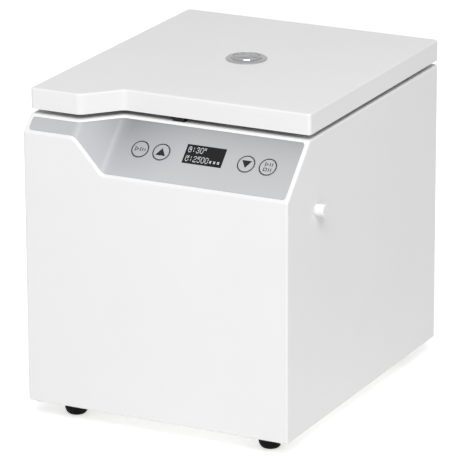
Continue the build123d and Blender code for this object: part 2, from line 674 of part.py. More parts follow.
# Chamber bowl: stainless cup with a rim on the deck and a raised lip round the shaft
with BuildPart() as chamber_bowl:
    add(turned([(BOWL_HOLE_R, Z_BOWL - BOWL_T), (BOWL_R + BOWL_T, Z_BOWL - BOWL_T), (BOWL_R + BOWL_T, Z_DECK),
                (BOWL_FLANGE_R, Z_DECK), (BOWL_FLANGE_R, Z_DECK + BOWL_FLANGE_T),
                (BOWL_R, Z_DECK + BOWL_FLANGE_T), (BOWL_R, Z_BOWL), (BOWL_HOLE_R + BOWL_T, Z_BOWL),
                (BOWL_HOLE_R + BOWL_T, Z_BOWL + BOWL_LIP_H), (BOWL_HOLE_R, Z_BOWL + BOWL_LIP_H)],
               [0.0, BOWL_FLOOR_R + BOWL_T, 0.0, 0.0, 0.4, 0.4, BOWL_FLOOR_R, 0.0, 0.4, 0.0]))
chamber_bowl.part.label = "chamber_bowl"
export_step(chamber_bowl.part, "parts/chamber_bowl.step")

# Motor: can, end cap, stator, bearings, and the drum and shaft that turn
CAN_IN_R = MOTOR_R - MOTOR_WALL
STATOR_OUT_R = CAN_IN_R - PRESS_PLAY
STATOR_IN_R = STATOR_OUT_R - STATOR_T
Z_STATOR = Z_MOTOR_LOW + STATOR_UP
Z_CAP_TOP = Z_MOTOR_LOW + MOTOR_CAP_T
Z_SHAFT_LOW = Z_CAP_TOP + SHAFT_END_GAP
MOTOR_SCREW_SPOTS = [(AXIS_X + MOTOR_SCREW_R * cos(a), AXIS_Y + MOTOR_SCREW_R * sin(a))
                     for a in (pi / 4, 3 * pi / 4, 5 * pi / 4, 7 * pi / 4)]
with BuildPart() as motor_can:
    pocket_r = BEARING_R + PRESS_PLAY
    z_pocket = Z_MOTOR_IN_TOP + BEARING_T
    add(turned([(SHAFT_HOLE_R, z_pocket), (pocket_r, z_pocket), (pocket_r, Z_MOTOR_IN_TOP),
                (CAN_IN_R, Z_MOTOR_IN_TOP), (CAN_IN_R, Z_CAP_TOP), (MOTOR_R, Z_CAP_TOP),
                (MOTOR_R, Z_MOTOR_PLATE), (SHAFT_HOLE_R, Z_MOTOR_PLATE)], [0.0] * 8))
    drill(facing_up(Z_MOTOR_PLATE, MOTOR_SCREW_SPOTS), LARGE_R + SCREW_PLAY, LARGE_L + SCREW_PLAY)
motor_can.part.label = "motor_can"
export_step(motor_can.part, "parts/motor_can.step")

with BuildPart() as motor_end_cap:
    pocket_r = BEARING_R + PRESS_PLAY
    z_boss = Z_CAP_TOP + BEARING_T
    add(turned([(0, Z_MOTOR_LOW), (MOTOR_R, Z_MOTOR_LOW), (MOTOR_R, Z_CAP_TOP),
                (pocket_r + MOTOR_CAP_T, Z_CAP_TOP), (pocket_r + MOTOR_CAP_T, z_boss),
                (pocket_r, z_boss), (pocket_r, Z_CAP_TOP), (0, Z_CAP_TOP)], [0.0] * 8))
motor_end_cap.part.label = "motor_end_cap"
export_step(motor_end_cap.part, "parts/motor_end_cap.step")

with BuildPart() as motor_bearings:
    with Locations((AXIS_X, AXIS_Y, Z_MOTOR_IN_TOP), (AXIS_X, AXIS_Y, Z_CAP_TOP)):
        Cylinder(BEARING_R, BEARING_T, align=ON_TOP)
        Cylinder(SHAFT_R + RUN_PLAY, BEARING_T, align=ON_TOP, mode=Mode.SUBTRACT)
motor_bearings.part.label = "motor_bearings"
export_step(motor_bearings.part, "parts/motor_bearings.step")

with BuildPart() as motor_stator:
    with Locations((AXIS_X, AXIS_Y, Z_STATOR)):
        Cylinder(STATOR_OUT_R, STATOR_H, align=ON_TOP)
        Cylinder(STATOR_IN_R, STATOR_H, align=ON_TOP, mode=Mode.SUBTRACT)
motor_stator.part.label = "motor_stator"
export_step(motor_stator.part, "parts/motor_stator.step")

with BuildPart() as motor_rotor:
    with Locations((AXIS_X, AXIS_Y, Z_STATOR)):
        Cylinder(STATOR_IN_R - AIR_GAP, STATOR_H, align=ON_TOP)
        Cylinder(SHAFT_R, STATOR_H, align=ON_TOP, mode=Mode.SUBTRACT)
motor_rotor.part.label = "motor_rotor"
export_step(motor_rotor.part, "parts/motor_rotor.step")

with BuildPart() as motor_shaft:
    with Locations((AXIS_X, AXIS_Y, Z_SHAFT_LOW)):
        Cylinder(SHAFT_R, Z_HUB_TOP + ROTOR_NUT_H - ROTOR_NUT_CAP_T - Z_SHAFT_LOW, align=ON_TOP)
motor_shaft.part.label = "motor_shaft"
export_step(motor_shaft.part, "parts/motor_shaft.step")

# Motor mounting: a plate on four rubber dampers, on four pillars that stand on the base plate
with BuildPart() as motor_plate:
    with BuildSketch(Plane.XY.offset(Z_MOTOR_PLATE)):
        with Locations((AXIS_X, AXIS_Y)):
            RectangleRounded(2 * MOTOR_PLATE_HALF, 2 * MOTOR_PLATE_HALF, DAMPER_R)
    extrude(amount=MOTOR_PLATE_T)
    drill([(AXIS_X, AXIS_Y, Z_MOTOR_PLATE + MOTOR_PLATE_T)], MOTOR_PLATE_HOLE_R, MOTOR_PLATE_T * 2)
    drill(facing_up(Z_MOTOR_PLATE + MOTOR_PLATE_T, PILLAR_SPOTS), STUD_R + STUD_PLAY, MOTOR_PLATE_T * 2)
    drill(facing_up(Z_MOTOR_PLATE + MOTOR_PLATE_T, MOTOR_SCREW_SPOTS), LARGE_R + SCREW_PLAY,
          MOTOR_PLATE_T * 2)
motor_plate.part.label = "motor_plate"
export_step(motor_plate.part, "parts/motor_plate.step")

with BuildPart() as motor_screws:
    with Locations(*facing_up(Z_MOTOR_PLATE + MOTOR_PLATE_T, MOTOR_SCREW_SPOTS)):
        pan_head(LARGE_HEAD_R, LARGE_HEAD_H, LARGE_R, LARGE_L)
motor_screws.part.label = "motor_screws"
export_step(motor_screws.part, "parts/motor_screws.step")

with BuildPart() as motor_pillars:
    with Locations(*facing_up(Z_BASE_TOP, PILLAR_SPOTS)):
        Cylinder(PILLAR_R, Z_DAMPER - Z_BASE_TOP, align=ON_TOP)
    with Locations(*facing_up(Z_DAMPER, PILLAR_SPOTS)):
        Cylinder(STUD_R, DAMPER_H + MOTOR_PLATE_T + DAMPER_NUT_H + STUD_END, align=ON_TOP)
    drill(facing_down(Z_BASE_TOP, PILLAR_SPOTS), LARGE_R + SCREW_PLAY, LARGE_L)
motor_pillars.part.label = "motor_pillars"
export_step(motor_pillars.part, "parts/motor_pillars.step")

with BuildPart() as motor_dampers:
    with Locations(*facing_up(Z_DAMPER, PILLAR_SPOTS)):
        Cylinder(DAMPER_R, DAMPER_H, align=ON_TOP)
        Cylinder(STUD_R + STUD_PLAY, DAMPER_H, align=ON_TOP, mode=Mode.SUBTRACT)
motor_dampers.part.label = "motor_dampers"
export_step(motor_dampers.part, "parts/motor_dampers.step")

with BuildPart() as damper_nuts:
    with BuildSketch(Plane.XY.offset(Z_MOTOR_PLATE + MOTOR_PLATE_T)):
        with Locations(*PILLAR_SPOTS):
            RegularPolygon(DAMPER_NUT_R, 6)
            Circle(STUD_R + STUD_PLAY, mode=Mode.SUBTRACT)
    extrude(amount=DAMPER_NUT_H)
damper_nuts.part.label = "damper_nuts"
export_step(damper_nuts.part, "parts/damper_nuts.step")

with BuildPart() as shaft_boot:
    with Locations((AXIS_X, AXIS_Y, Z_MOTOR_PLATE + MOTOR_PLATE_T)):
        boot_h = MOTOR_PLATE_DROP - MOTOR_PLATE_T + BOWL_LIP_H / 2
        Cylinder(BOWL_HOLE_R - BOOT_PLAY, boot_h, align=ON_TOP)
        Cylinder(BOOT_IN_R, boot_h, align=ON_TOP, mode=Mode.SUBTRACT)
shaft_boot.part.label = "shaft_boot"
export_step(shaft_boot.part, "parts/shaft_boot.step")

# Rotor: a yoke with its hub, two upright plate holders on it, and a grip nut on the shaft
with BuildPart() as rotor_yoke:
    with BuildSketch(Plane.XY.offset(Z_YOKE)):
        with Locations((AXIS_X, AXIS_Y)):
            RectangleRounded(2 * YOKE_HALF_X, 2 * YOKE_HALF_Y, YOKE_CORNER_R)
    extrude(amount=YOKE_T)
    with Locations((AXIS_X, AXIS_Y, Z_YOKE_TOP)):
        Cylinder(HUB_R, HUB_H, align=ON_TOP)
    chamfer(rotor_yoke.faces().sort_by(Axis.Z)[-1].edges(), HUB_CHAMFER)
    drill([(AXIS_X, AXIS_Y, Z_HUB_TOP)], SHAFT_R + PRESS_PLAY, HUB_H + YOKE_T * 2)
    drill(facing_up(Z_YOKE_TOP, HOLDER_SCREW_SPOTS), SMALL_R + SCREW_PLAY, YOKE_T * 2)
rotor_yoke.part.label = "rotor_yoke"
export_step(rotor_yoke.part, "parts/rotor_yoke.step")

for side, holder_name in ((-1, "plate_holder_left"), (1, "plate_holder_right")):
    holder_x = AXIS_X + side * (POCKET_IN_R + POCKET_T / 2)
    with BuildPart() as plate_holder:
        with BuildSketch(Plane.XY.offset(Z_YOKE_TOP)):
            with Locations((holder_x, AXIS_Y)):
                RectangleRounded(POCKET_T + 2 * POCKET_WALL, POCKET_L + 2 * POCKET_WALL, POCKET_CORNER_R)
        extrude(amount=POCKET_FLOOR + POCKET_H)
        with Locations((holder_x, AXIS_Y, Z_POCKET)):
            Box(POCKET_T, POCKET_L, POCKET_H * 2, align=ON_TOP, mode=Mode.SUBTRACT)
        # a dip in both long walls, so that fingers reach the plate
        with BuildSketch(Plane(origin=(holder_x, AXIS_Y, Z_POCKET + POCKET_H), x_dir=(0, 1, 0),
                               z_dir=(1, 0, 0))):
            SlotOverall(POCKET_NOTCH_W, POCKET_NOTCH_H * 2)
        extrude(amount=POCKET_T, both=True, mode=Mode.SUBTRACT)
        drill(facing_up(Z_POCKET, [(holder_x, AXIS_Y + j * HOLDER_SCREW_SIDE) for j in (-1, 1)]),
              SMALL_R + SCREW_PLAY, POCKET_FLOOR * 2)
    plate_holder.part.label = holder_name
    export_step(plate_holder.part, "parts/" + holder_name + ".step")

with BuildPart() as holder_screws:
    with Locations(*facing_down(Z_YOKE, HOLDER_SCREW_SPOTS)):
        pan_head(SMALL_HEAD_R, SMALL_HEAD_H, SMALL_R, YOKE_T + POCKET_FLOOR * 0.9)
holder_screws.part.label = "holder_screws"
export_step(holder_screws.part, "parts/holder_screws.step")

with BuildPart() as rotor_nut:
    with BuildSketch(Plane.XY.offset(Z_HUB_TOP)):
        with Locations((AXIS_X, AXIS_Y)):
            Circle(ROTOR_NUT_R)
            with PolarLocations(ROTOR_NUT_R + ROTOR_NUT_GRIP_R * 0.4, ROTOR_NUT_GRIPS):
                Circle(ROTOR_NUT_GRIP_R, mode=Mode.SUBTRACT)
    extrude(amount=ROTOR_NUT_H)
    chamfer(rotor_nut.faces().sort_by(Axis.Z)[-1].edges(), HUB_CHAMFER)
    drill(facing_down(Z_HUB_TOP, [(AXIS_X, AXIS_Y)]), SHAFT_R + PRESS_PLAY,
          ROTOR_NUT_H - ROTOR_NUT_CAP_T)
rotor_nut.part.label = "rotor_nut"
export_step(rotor_nut.part, "parts/rotor_nut.step")

# Lid shell: a hollow white moulding of the deck's outline, with posts for the liner screws
with BuildPart() as lid_shell:
    extrude(deck_plan(Z_LID, 0.0, LID_CORNER_R, BACK_EDGE_R), amount=LID_H)
    fillet(lid_shell.faces().sort_by(Axis.Z)[-1].outer_wire().edges(), LID_EDGE_R)
    extrude(deck_plan(Z_LID, LID_WALL), amount=LID_H - LID_TOP_T, mode=Mode.SUBTRACT)
    with Locations(*facing_up(Z_LINER + LINER_T, LID_POST_SPOTS)):
        Cylinder(LID_POST_R, Z_TOP - LID_TOP_T / 2 - Z_LINER - LINER_T, align=ON_TOP)
    drill([(AXIS_X, AXIS_Y, Z_TOP + LID_TOP_T)], WINDOW_TUBE_R + PRESS_PLAY, LID_H)
    drill(facing_down(Z_LINER, LID_POST_SPOTS), SMALL_R + SCREW_PLAY, SMALL_L + SCREW_PLAY)
    drill(on_back(Y_BACK, HINGE_LID_SPOTS), SMALL_R + SCREW_PLAY, SMALL_L + SCREW_PLAY)
lid_shell.part.label = "lid_shell"
export_step(lid_shell.part, "parts/lid_shell.step")

with BuildPart() as lid_liner:
    extrude(deck_plan(Z_LINER, LID_WALL + LINER_PLAY), amount=LINER_T)
    drill([(AXIS_X, AXIS_Y, Z_LINER + LINER_T)], WINDOW_TUBE_R + PRESS_PLAY, LINER_T * 2)
    drill(facing_up(Z_LINER + LINER_T, LID_POST_SPOTS + HOOK_SCREW_SPOTS), SMALL_R + SCREW_PLAY,
          LINER_T * 2)
lid_liner.part.label = "lid_liner"
export_step(lid_liner.part, "parts/lid_liner.step")

with BuildPart() as lid_gasket:
    add(turned([(GASKET_IN_R, Z_DECK + BOWL_FLANGE_T + GASKET_PLAY),
                (GASKET_IN_R + GASKET_W, Z_DECK + BOWL_FLANGE_T + GASKET_PLAY),
                (GASKET_IN_R + GASKET_W, Z_LINER), (GASKET_IN_R, Z_LINER)],
               [GASKET_W * 0.4, GASKET_W * 0.4, 0.0, 0.0]))
lid_gasket.part.label = "lid_gasket"
export_step(lid_gasket.part, "parts/lid_gasket.step")

# Window: a chromed ring whose tube lines the lid, and a domed lens seated in it
Z_RING_TOP = Z_TOP + WINDOW_FLANGE_T
Z_SEAT = Z_RING_TOP - WINDOW_SEAT_DEPTH
with BuildPart() as window_ring:
    add(turned([(WINDOW_THROAT_R, Z_LINER), (WINDOW_TUBE_R, Z_LINER), (WINDOW_TUBE_R, Z_TOP),
                (WINDOW_R, Z_TOP), (WINDOW_R, Z_RING_TOP), (WINDOW_SEAT_R + LENS_PLAY, Z_RING_TOP),
                (WINDOW_SEAT_R + LENS_PLAY, Z_SEAT), (WINDOW_THROAT_R, Z_SEAT)],
               [0.0, 0.0, 0.0, 0.0, WINDOW_FLANGE_T * 0.7, 0.4, 0.0, 0.0]))
window_ring.part.label = "window_ring"
export_step(window_ring.part, "parts/window_ring.step")

with BuildPart() as window_lens:
    with BuildSketch(Plane(origin=(AXIS_X, AXIS_Y, 0), x_dir=(1, 0, 0), z_dir=(0, -1, 0))):
        with BuildLine():
            Polyline((0, Z_RING_TOP + LENS_DOME_H), (0, Z_SEAT), (WINDOW_SEAT_R, Z_SEAT),
                     (WINDOW_SEAT_R, Z_RING_TOP))
            dome_sphere_r = (WINDOW_SEAT_R ** 2 + LENS_DOME_H ** 2) / (2 * LENS_DOME_H)
            RadiusArc((WINDOW_SEAT_R, Z_RING_TOP), (0, Z_RING_TOP + LENS_DOME_H), -dome_sphere_r)
        make_face()
    revolve(axis=Axis((AXIS_X, AXIS_Y, 0), (0, 0, 1)))
window_lens.part.label = "window_lens"
export_step(window_lens.part, "parts/window_lens.step")

# Hinges: two at the back, each with a leaf on the casing, a leaf on the lid and a pin
MID_KNUCKLE_L = HINGE_W - 2 * HINGE_KNUCKLE_L - 2 * HINGE_GAP
KNUCKLE_ROOM = HINGE_KNUCKLE_R + 2 * HINGE_GAP
with BuildPart() as hinge_leaves_body:
    for x in HINGE_XS:
        block((x - HINGE_W / 2, Y_BACK, HINGE_Z - HINGE_LEAF_DOWN),
              (x + HINGE_W / 2, Y_BACK + HINGE_LEAF_T, HINGE_Z))
        for end in (x - HINGE_W / 2, x + HINGE_W / 2 - HINGE_KNUCKLE_L):
            rod_along_x(HINGE_KNUCKLE_R, end, end + HINGE_KNUCKLE_L, HINGE_Y, HINGE_Z)
        block((x - HINGE_W / 2 + HINGE_KNUCKLE_L, Y_BACK, HINGE_Z - KNUCKLE_ROOM),
              (x + HINGE_W / 2 - HINGE_KNUCKLE_L, HINGE_Y + KNUCKLE_ROOM, HINGE_Z + KNUCKLE_ROOM),
              Mode.SUBTRACT)
        rod_along_x(HINGE_PIN_R + PRESS_PLAY, x - HINGE_W, x + HINGE_W, HINGE_Y, HINGE_Z, Mode.SUBTRACT)
    drill(on_back(Y_BACK + HINGE_LEAF_T, HINGE_BODY_SPOTS), SMALL_R + SCREW_PLAY, HINGE_LEAF_T * 2)
hinge_leaves_body.part.label = "hinge_leaves_body"
export_step(hinge_leaves_body.part, "parts/hinge_leaves_body.step")

with BuildPart() as hinge_leaves_lid:
    for x in HINGE_XS:
        block((x - HINGE_W / 2, Y_BACK, HINGE_Z),
              (x + HINGE_W / 2, Y_BACK + HINGE_LEAF_T, HINGE_Z + HINGE_LEAF_UP))
        rod_along_x(HINGE_KNUCKLE_R, x - MID_KNUCKLE_L / 2, x + MID_KNUCKLE_L / 2, HINGE_Y, HINGE_Z)
        for side in (-1, 1):
            cut_x = x + side * (HINGE_W + MID_KNUCKLE_L) / 4
            with Locations((cut_x, Y_BACK, HINGE_Z)):
                Box((HINGE_W - MID_KNUCKLE_L) / 2, HINGE_LEAF_T * 4, KNUCKLE_ROOM * 2, mode=Mode.SUBTRACT)
        rod_along_x(HINGE_PIN_R + RUN_PLAY, x - HINGE_W, x + HINGE_W, HINGE_Y, HINGE_Z, Mode.SUBTRACT)
    drill(on_back(Y_BACK + HINGE_LEAF_T, HINGE_LID_SPOTS), SMALL_R + SCREW_PLAY, HINGE_LEAF_T * 2)
hinge_leaves_lid.part.label = "hinge_leaves_lid"
export_step(hinge_leaves_lid.part, "parts/hinge_leaves_lid.step")

with BuildPart() as hinge_pins:
    for x in HINGE_XS:
        rod_along_x(HINGE_PIN_R, x - HINGE_W / 2, x + HINGE_W / 2, HINGE_Y, HINGE_Z)
        for end in (x - HINGE_W / 2 - HINGE_PIN_HEAD_T, x + HINGE_W / 2):
            rod_along_x(HINGE_PIN_HEAD_R, end, end + HINGE_PIN_HEAD_T, HINGE_Y, HINGE_Z)
hinge_pins.part.label = "hinge_pins"
export_step(hinge_pins.part, "parts/hinge_pins.step")

# Latch hook: hangs from the liner behind the lid's front edge, with a notch for the catch
NOTCH_Z = Z_HOOK + HOOK_NOTCH_LOW
with BuildPart() as latch_hook:
    block((X_MID - HOOK_W / 2, HOOK_Y, Z_HOOK), (X_MID + HOOK_W / 2, HOOK_Y + HOOK_T, Z_LINER))
    block((X_MID - HOOK_FLANGE_HALF, HOOK_Y, Z_LINER - HOOK_FLANGE_T),
          (X_MID + HOOK_FLANGE_HALF, HOOK_Y + HOOK_FLANGE_D, Z_LINER))
    block((X_MID - HOOK_W / 2, HOOK_Y, NOTCH_Z),
          (X_MID - HOOK_W / 2 + HOOK_NOTCH_W, HOOK_Y + HOOK_T, NOTCH_Z + HOOK_NOTCH_H), Mode.SUBTRACT)
    toe_edges = latch_hook.edges().filter_by(Axis.Y).group_by(Axis.Z)[0]
    chamfer(toe_edges, HOOK_NOTCH_W * 0.8)
    drill(facing_down(Z_LINER - HOOK_FLANGE_T, HOOK_SCREW_SPOTS), SMALL_R + SCREW_PLAY, HOOK_FLANGE_T * 2)
latch_hook.part.label = "latch_hook"
export_step(latch_hook.part, "parts/latch_hook.step")

# Latch bracket: folded steel under the deck, which clamps the catch and guides the release rod
BRACKET_BACK = BRACKET_Y + BRACKET_W
BRACKET_LEFT_X = X_MID - BRACKET_LEFT
BRACKET_RIGHT_X = X_MID + BRACKET_RIGHT
BRACKET_LOW_Z = Z_UNDER_DECK - BRACKET_DROP
LEAF_LEFT_X = LEAF_RIGHT_X - LEAF_T
with BuildPart() as latch_bracket:
    block((BRACKET_LEFT_X, BRACKET_Y, Z_UNDER_DECK - BRACKET_T),
          (BRACKET_RIGHT_X + BRACKET_T, BRACKET_BACK, Z_UNDER_DECK))
    block((X_MID - HOOK_W / 2 - SLOT_PLAY, BRACKET_Y, Z_UNDER_DECK - BRACKET_T),
          (X_MID + HOOK_W / 2 + SLOT_PLAY, HOOK_Y + HOOK_T + SLOT_PLAY, Z_UNDER_DECK), Mode.SUBTRACT)
    block((BRACKET_LEFT_X, BRACKET_Y, BRACKET_LOW_Z),
          (BRACKET_LEFT_X + BRACKET_T, BRACKET_BACK, Z_UNDER_DECK))
    block((BRACKET_LEFT_X, BRACKET_Y, BRACKET_LOW_Z),
          (LEAF_LEFT_X, BRACKET_BACK, BRACKET_LOW_Z + BRACKET_T))
    block((LEAF_LEFT_X - BRACKET_T, BRACKET_Y, BRACKET_LOW_Z),
          (LEAF_LEFT_X, BRACKET_BACK, BRACKET_LOW_Z + BRACKET_CLAMP_H))
    block((BRACKET_RIGHT_X, BRACKET_Y, Z_UNDER_DECK - BRACKET_GUIDE_DROP),
          (BRACKET_RIGHT_X + BRACKET_T, BRACKET_BACK, Z_UNDER_DECK))
    rod_along_x(ROD_R + RUN_PLAY, BRACKET_RIGHT_X - BRACKET_T, BRACKET_RIGHT_X + BRACKET_T * 2, RELEASE_Y,
                BUTTON_Z, Mode.SUBTRACT)
    drill(facing_up(Z_UNDER_DECK, BRACKET_SPOTS), SMALL_R + SCREW_PLAY, BRACKET_T * 2)
latch_bracket.part.label = "latch_bracket"
export_step(latch_bracket.part, "parts/latch_bracket.step")

# Latch leaf: the spring-steel catch, whose nose lies over the hook's toe
with BuildPart() as latch_leaf:
    leaf_y = HOOK_Y + LEAF_IN
    nose_z = NOTCH_Z + LEAF_GAP
    block((LEAF_LEFT_X, leaf_y, BRACKET_LOW_Z), (LEAF_RIGHT_X, leaf_y + LEAF_W, nose_z + LEAF_T))
    block((LEAF_LEFT_X, leaf_y, nose_z),
          (LEAF_RIGHT_X + LEAF_NOSE_L, leaf_y + HOOK_T - 2 * LEAF_IN, nose_z + LEAF_T))
latch_leaf.part.label = "latch_leaf"
export_step(latch_leaf.part, "parts/latch_leaf.step")

# Lid switch: a small switch on the bracket, beside the hook
with BuildPart() as lid_switch:
    block((BRACKET_RIGHT_X + BRACKET_T, BRACKET_Y, Z_UNDER_DECK - BRACKET_T - LID_SWITCH_H * 2),
          (BRACKET_RIGHT_X + BRACKET_T + LID_SWITCH_W, BRACKET_Y + LID_SWITCH_D,
           Z_UNDER_DECK - BRACKET_T - LID_SWITCH_H))
lid_switch.part.label = "lid_switch"
export_step(lid_switch.part, "parts/lid_switch.step")

# Release: a white button in the right wall, its rod to the catch, a guide and a return spring
with BuildPart() as release_button:
    rod_along_x(BUTTON_R, BUTTON_TAIL_X, X_RIGHT + BUTTON_OUT, RELEASE_Y, BUTTON_Z)
    fillet(release_button.edges().sort_by(Axis.X)[-1], BUTTON_ROUND)
    rod_along_x(COLLAR_R, COLLAR_X, BUTTON_TAIL_X, RELEASE_Y, BUTTON_Z)
release_button.part.label = "release_button"
export_step(release_button.part, "parts/release_button.step")

with BuildPart() as release_rod:
    rod_along_x(ROD_R, LEAF_RIGHT_X + LEAF_GAP, COLLAR_X, RELEASE_Y, BUTTON_Z)
release_rod.part.label = "release_rod"
export_step(release_rod.part, "parts/release_rod.step")

GUIDE_STEP_X = BUTTON_TAIL_X + BUTTON_PLAY
SPRING_ROOM_R = GUIDE_R - GUIDE_WALL
with BuildPart() as button_guide:
    rod_along_x(GUIDE_R, GUIDE_X - GUIDE_L, GUIDE_X, RELEASE_Y, BUTTON_Z)
    rod_along_x(GUIDE_FLANGE_R, GUIDE_X - GUIDE_FLANGE_T, GUIDE_X, RELEASE_Y, BUTTON_Z)
    rod_along_x(SPRING_ROOM_R, GUIDE_X - GUIDE_L + GUIDE_WALL, GUIDE_STEP_X, RELEASE_Y, BUTTON_Z,
                Mode.SUBTRACT)
    rod_along_x(BUTTON_R + BUTTON_PLAY, GUIDE_STEP_X, GUIDE_X, RELEASE_Y, BUTTON_Z, Mode.SUBTRACT)
    rod_along_x(ROD_R + RUN_PLAY, GUIDE_X - GUIDE_L, GUIDE_X, RELEASE_Y, BUTTON_Z, Mode.SUBTRACT)
button_guide.part.label = "button_guide"
export_step(button_guide.part, "parts/button_guide.step")

with BuildPart() as release_spring:
    spring_from = GUIDE_X - GUIDE_L + GUIDE_WALL
    rod_along_x(SPRING_OUT_R, spring_from, COLLAR_X, RELEASE_Y, BUTTON_Z)
    rod_along_x(SPRING_IN_R, spring_from, COLLAR_X, RELEASE_Y, BUTTON_Z, Mode.SUBTRACT)
release_spring.part.label = "release_spring"
export_step(release_spring.part, "parts/release_spring.step")

# Control panel: the folded overlay, four keys, the display and the board behind them
with BuildPart() as control_overlay:
    add(slope_sheet(OVERLAY_TOP, OVERLAY_T, 0.0))
    with Locations(*on_panel(WALL)):
        Cylinder(KEY_R + KEY_PLAY, WALL * 2, align=ON_TOP, mode=Mode.SUBTRACT)
    with Locations(panel_spot(DISPLAY_X, DISPLAY_DOWN, WALL)):
        Box(DISPLAY_W + 2 * DISPLAY_PLAY, DISPLAY_H + 2 * DISPLAY_PLAY, WALL * 2, align=ON_TOP,
            mode=Mode.SUBTRACT)
control_overlay.part.label = "control_overlay"
export_step(control_overlay.part, "parts/control_overlay.step")

for key_name, key_x in KEY_SPOTS.items():
    with BuildPart() as key:
        with Locations(panel_spot(key_x, KEY_DOWN, WALL + KEY_SEAT)):
            Cylinder(KEY_R, WALL + KEY_SEAT - OVERLAY_TOP + KEY_PROUD, align=ON_TOP)
            Cylinder(KEY_R + KEY_RIM, KEY_RIM_T, align=BELOW)
    key.part.label = key_name
    export_step(key.part, "parts/" + key_name + ".step")

with BuildPart() as display_window:
    with Locations(panel_spot(DISPLAY_X, DISPLAY_DOWN, OVERLAY_TOP + OVERLAY_T)):
        Box(DISPLAY_W, DISPLAY_H, OVERLAY_T, align=ON_TOP)
display_window.part.label = "display_window"
export_step(display_window.part, "parts/display_window.step")

with BuildPart() as display_module:
    with Locations(panel_spot(DISPLAY_X, DISPLAY_DOWN, WALL)):
        Box(MODULE_W, MODULE_H, MODULE_T, align=BELOW)
    with Locations(panel_spot(DISPLAY_X, DISPLAY_DOWN - MODULE_H / 2 + HEADER_D, BOARD_DEPTH)):
        Box(HEADER_W, HEADER_D, BOARD_DEPTH - WALL - MODULE_T, align=ON_TOP)
display_module.part.label = "display_module"
export_step(display_module.part, "parts/display_module.step")

with BuildPart() as control_board:
    with Locations(panel_spot(BOARD_MID_X, BOARD_MID_DOWN, BOARD_DEPTH)):
        Box(BOARD_RIGHT_X - BOARD_LEFT_X, BOARD_FOOT_DOWN - BOARD_TOP_DOWN, BOARD_T, align=BELOW)
    drill(behind_board(), SMALL_R + SCREW_PLAY, BOARD_T * 2)
control_board.part.label = "control_board"
export_step(control_board.part, "parts/control_board.step")

TACT_STEM_H = BOARD_DEPTH - WALL - KEY_RIM_T - KEY_TRAVEL - 2 * KEY_SEAT
with BuildPart() as key_switches:
    with Locations(*on_panel(BOARD_DEPTH)):
        Box(TACT_SIZE, TACT_SIZE, TACT_H, align=ON_TOP)
        Cylinder(TACT_STEM_R, TACT_STEM_H, align=ON_TOP)
key_switches.part.label = "key_switches"
export_step(key_switches.part, "parts/key_switches.step")

# Power board: a board on four spacers with a transformer, two capacitors and a heat sink
Z_POWER = Z_BASE_TOP + SPACER_H
with BuildPart() as power_board:
    with Locations((POWER_MID_X, POWER_MID_Y, Z_POWER)):
        Box(POWER_W, POWER_D, BOARD_T, align=ON_TOP)
    with Locations((POWER_MID_X, POWER_MID_Y, Z_POWER + BOARD_T)):
        with Locations((-POWER_W / 4, 0)):
            Box(TRANSFORMER_W, TRANSFORMER_W, TRANSFORMER_H, align=ON_TOP)
        with Locations((POWER_W / 8, -CAPACITOR_R * 1.2), (POWER_W / 8, CAPACITOR_R * 1.2)):
            Cylinder(CAPACITOR_R, CAPACITOR_H, align=ON_TOP)
        with Locations((POWER_W / 3, 0)):
            Box(HEAT_SINK_T, POWER_D * 0.6, CAPACITOR_H, align=ON_TOP)
    drill(facing_up(Z_POWER + BOARD_T, POWER_SPOTS), SMALL_R + SCREW_PLAY, BOARD_T * 2)
power_board.part.label = "power_board"
export_step(power_board.part, "parts/power_board.step")

# Mains inlet: a moulded socket with three blades, through the rear panel
SOCKET_FLOOR_Y = Y_BACK + INLET_FLANGE_T - SOCKET_D
INLET_Z = Z_BASE + INLET_UP
with BuildPart() as power_inlet:
    with Locations(*on_back(Y_BACK, [(X_LEFT + INLET_X, INLET_Z)])):
        Box(INLET_FLANGE_W, INLET_FLANGE_H, INLET_FLANGE_T, align=ON_TOP)
        Box(INLET_BODY_W, INLET_BODY_H, INLET_BODY_D, align=BELOW)
    chamfer(power_inlet.faces().sort_by(Axis.Y)[-1].edges(), INLET_FLANGE_T / 3)
    with BuildSketch(back_plane(SOCKET_FLOOR_Y)) as mouth:
        with Locations((-(X_LEFT + INLET_X), INLET_Z)):
            Rectangle(SOCKET_W, SOCKET_H)
        chamfer(mouth.vertices().group_by(Axis.Y)[-1], SOCKET_CHAMFER)
    extrude(amount=SOCKET_D * 2, mode=Mode.SUBTRACT)
power_inlet.part.label = "power_inlet"
export_step(power_inlet.part, "parts/power_inlet.step")

INLET_MID_X = X_LEFT + INLET_X
PIN_SPOTS = [(INLET_MID_X - PIN_SPREAD, INLET_Z - PIN_RISE), (INLET_MID_X, INLET_Z + PIN_RISE),
             (INLET_MID_X + PIN_SPREAD, INLET_Z - PIN_RISE)]
with BuildPart() as inlet_pins:
    with Locations(*on_back(SOCKET_FLOOR_Y, PIN_SPOTS)):
        Box(PIN_W, PIN_H, PIN_L, align=ON_TOP)
inlet_pins.part.label = "inlet_pins"
export_step(inlet_pins.part, "parts/inlet_pins.step")

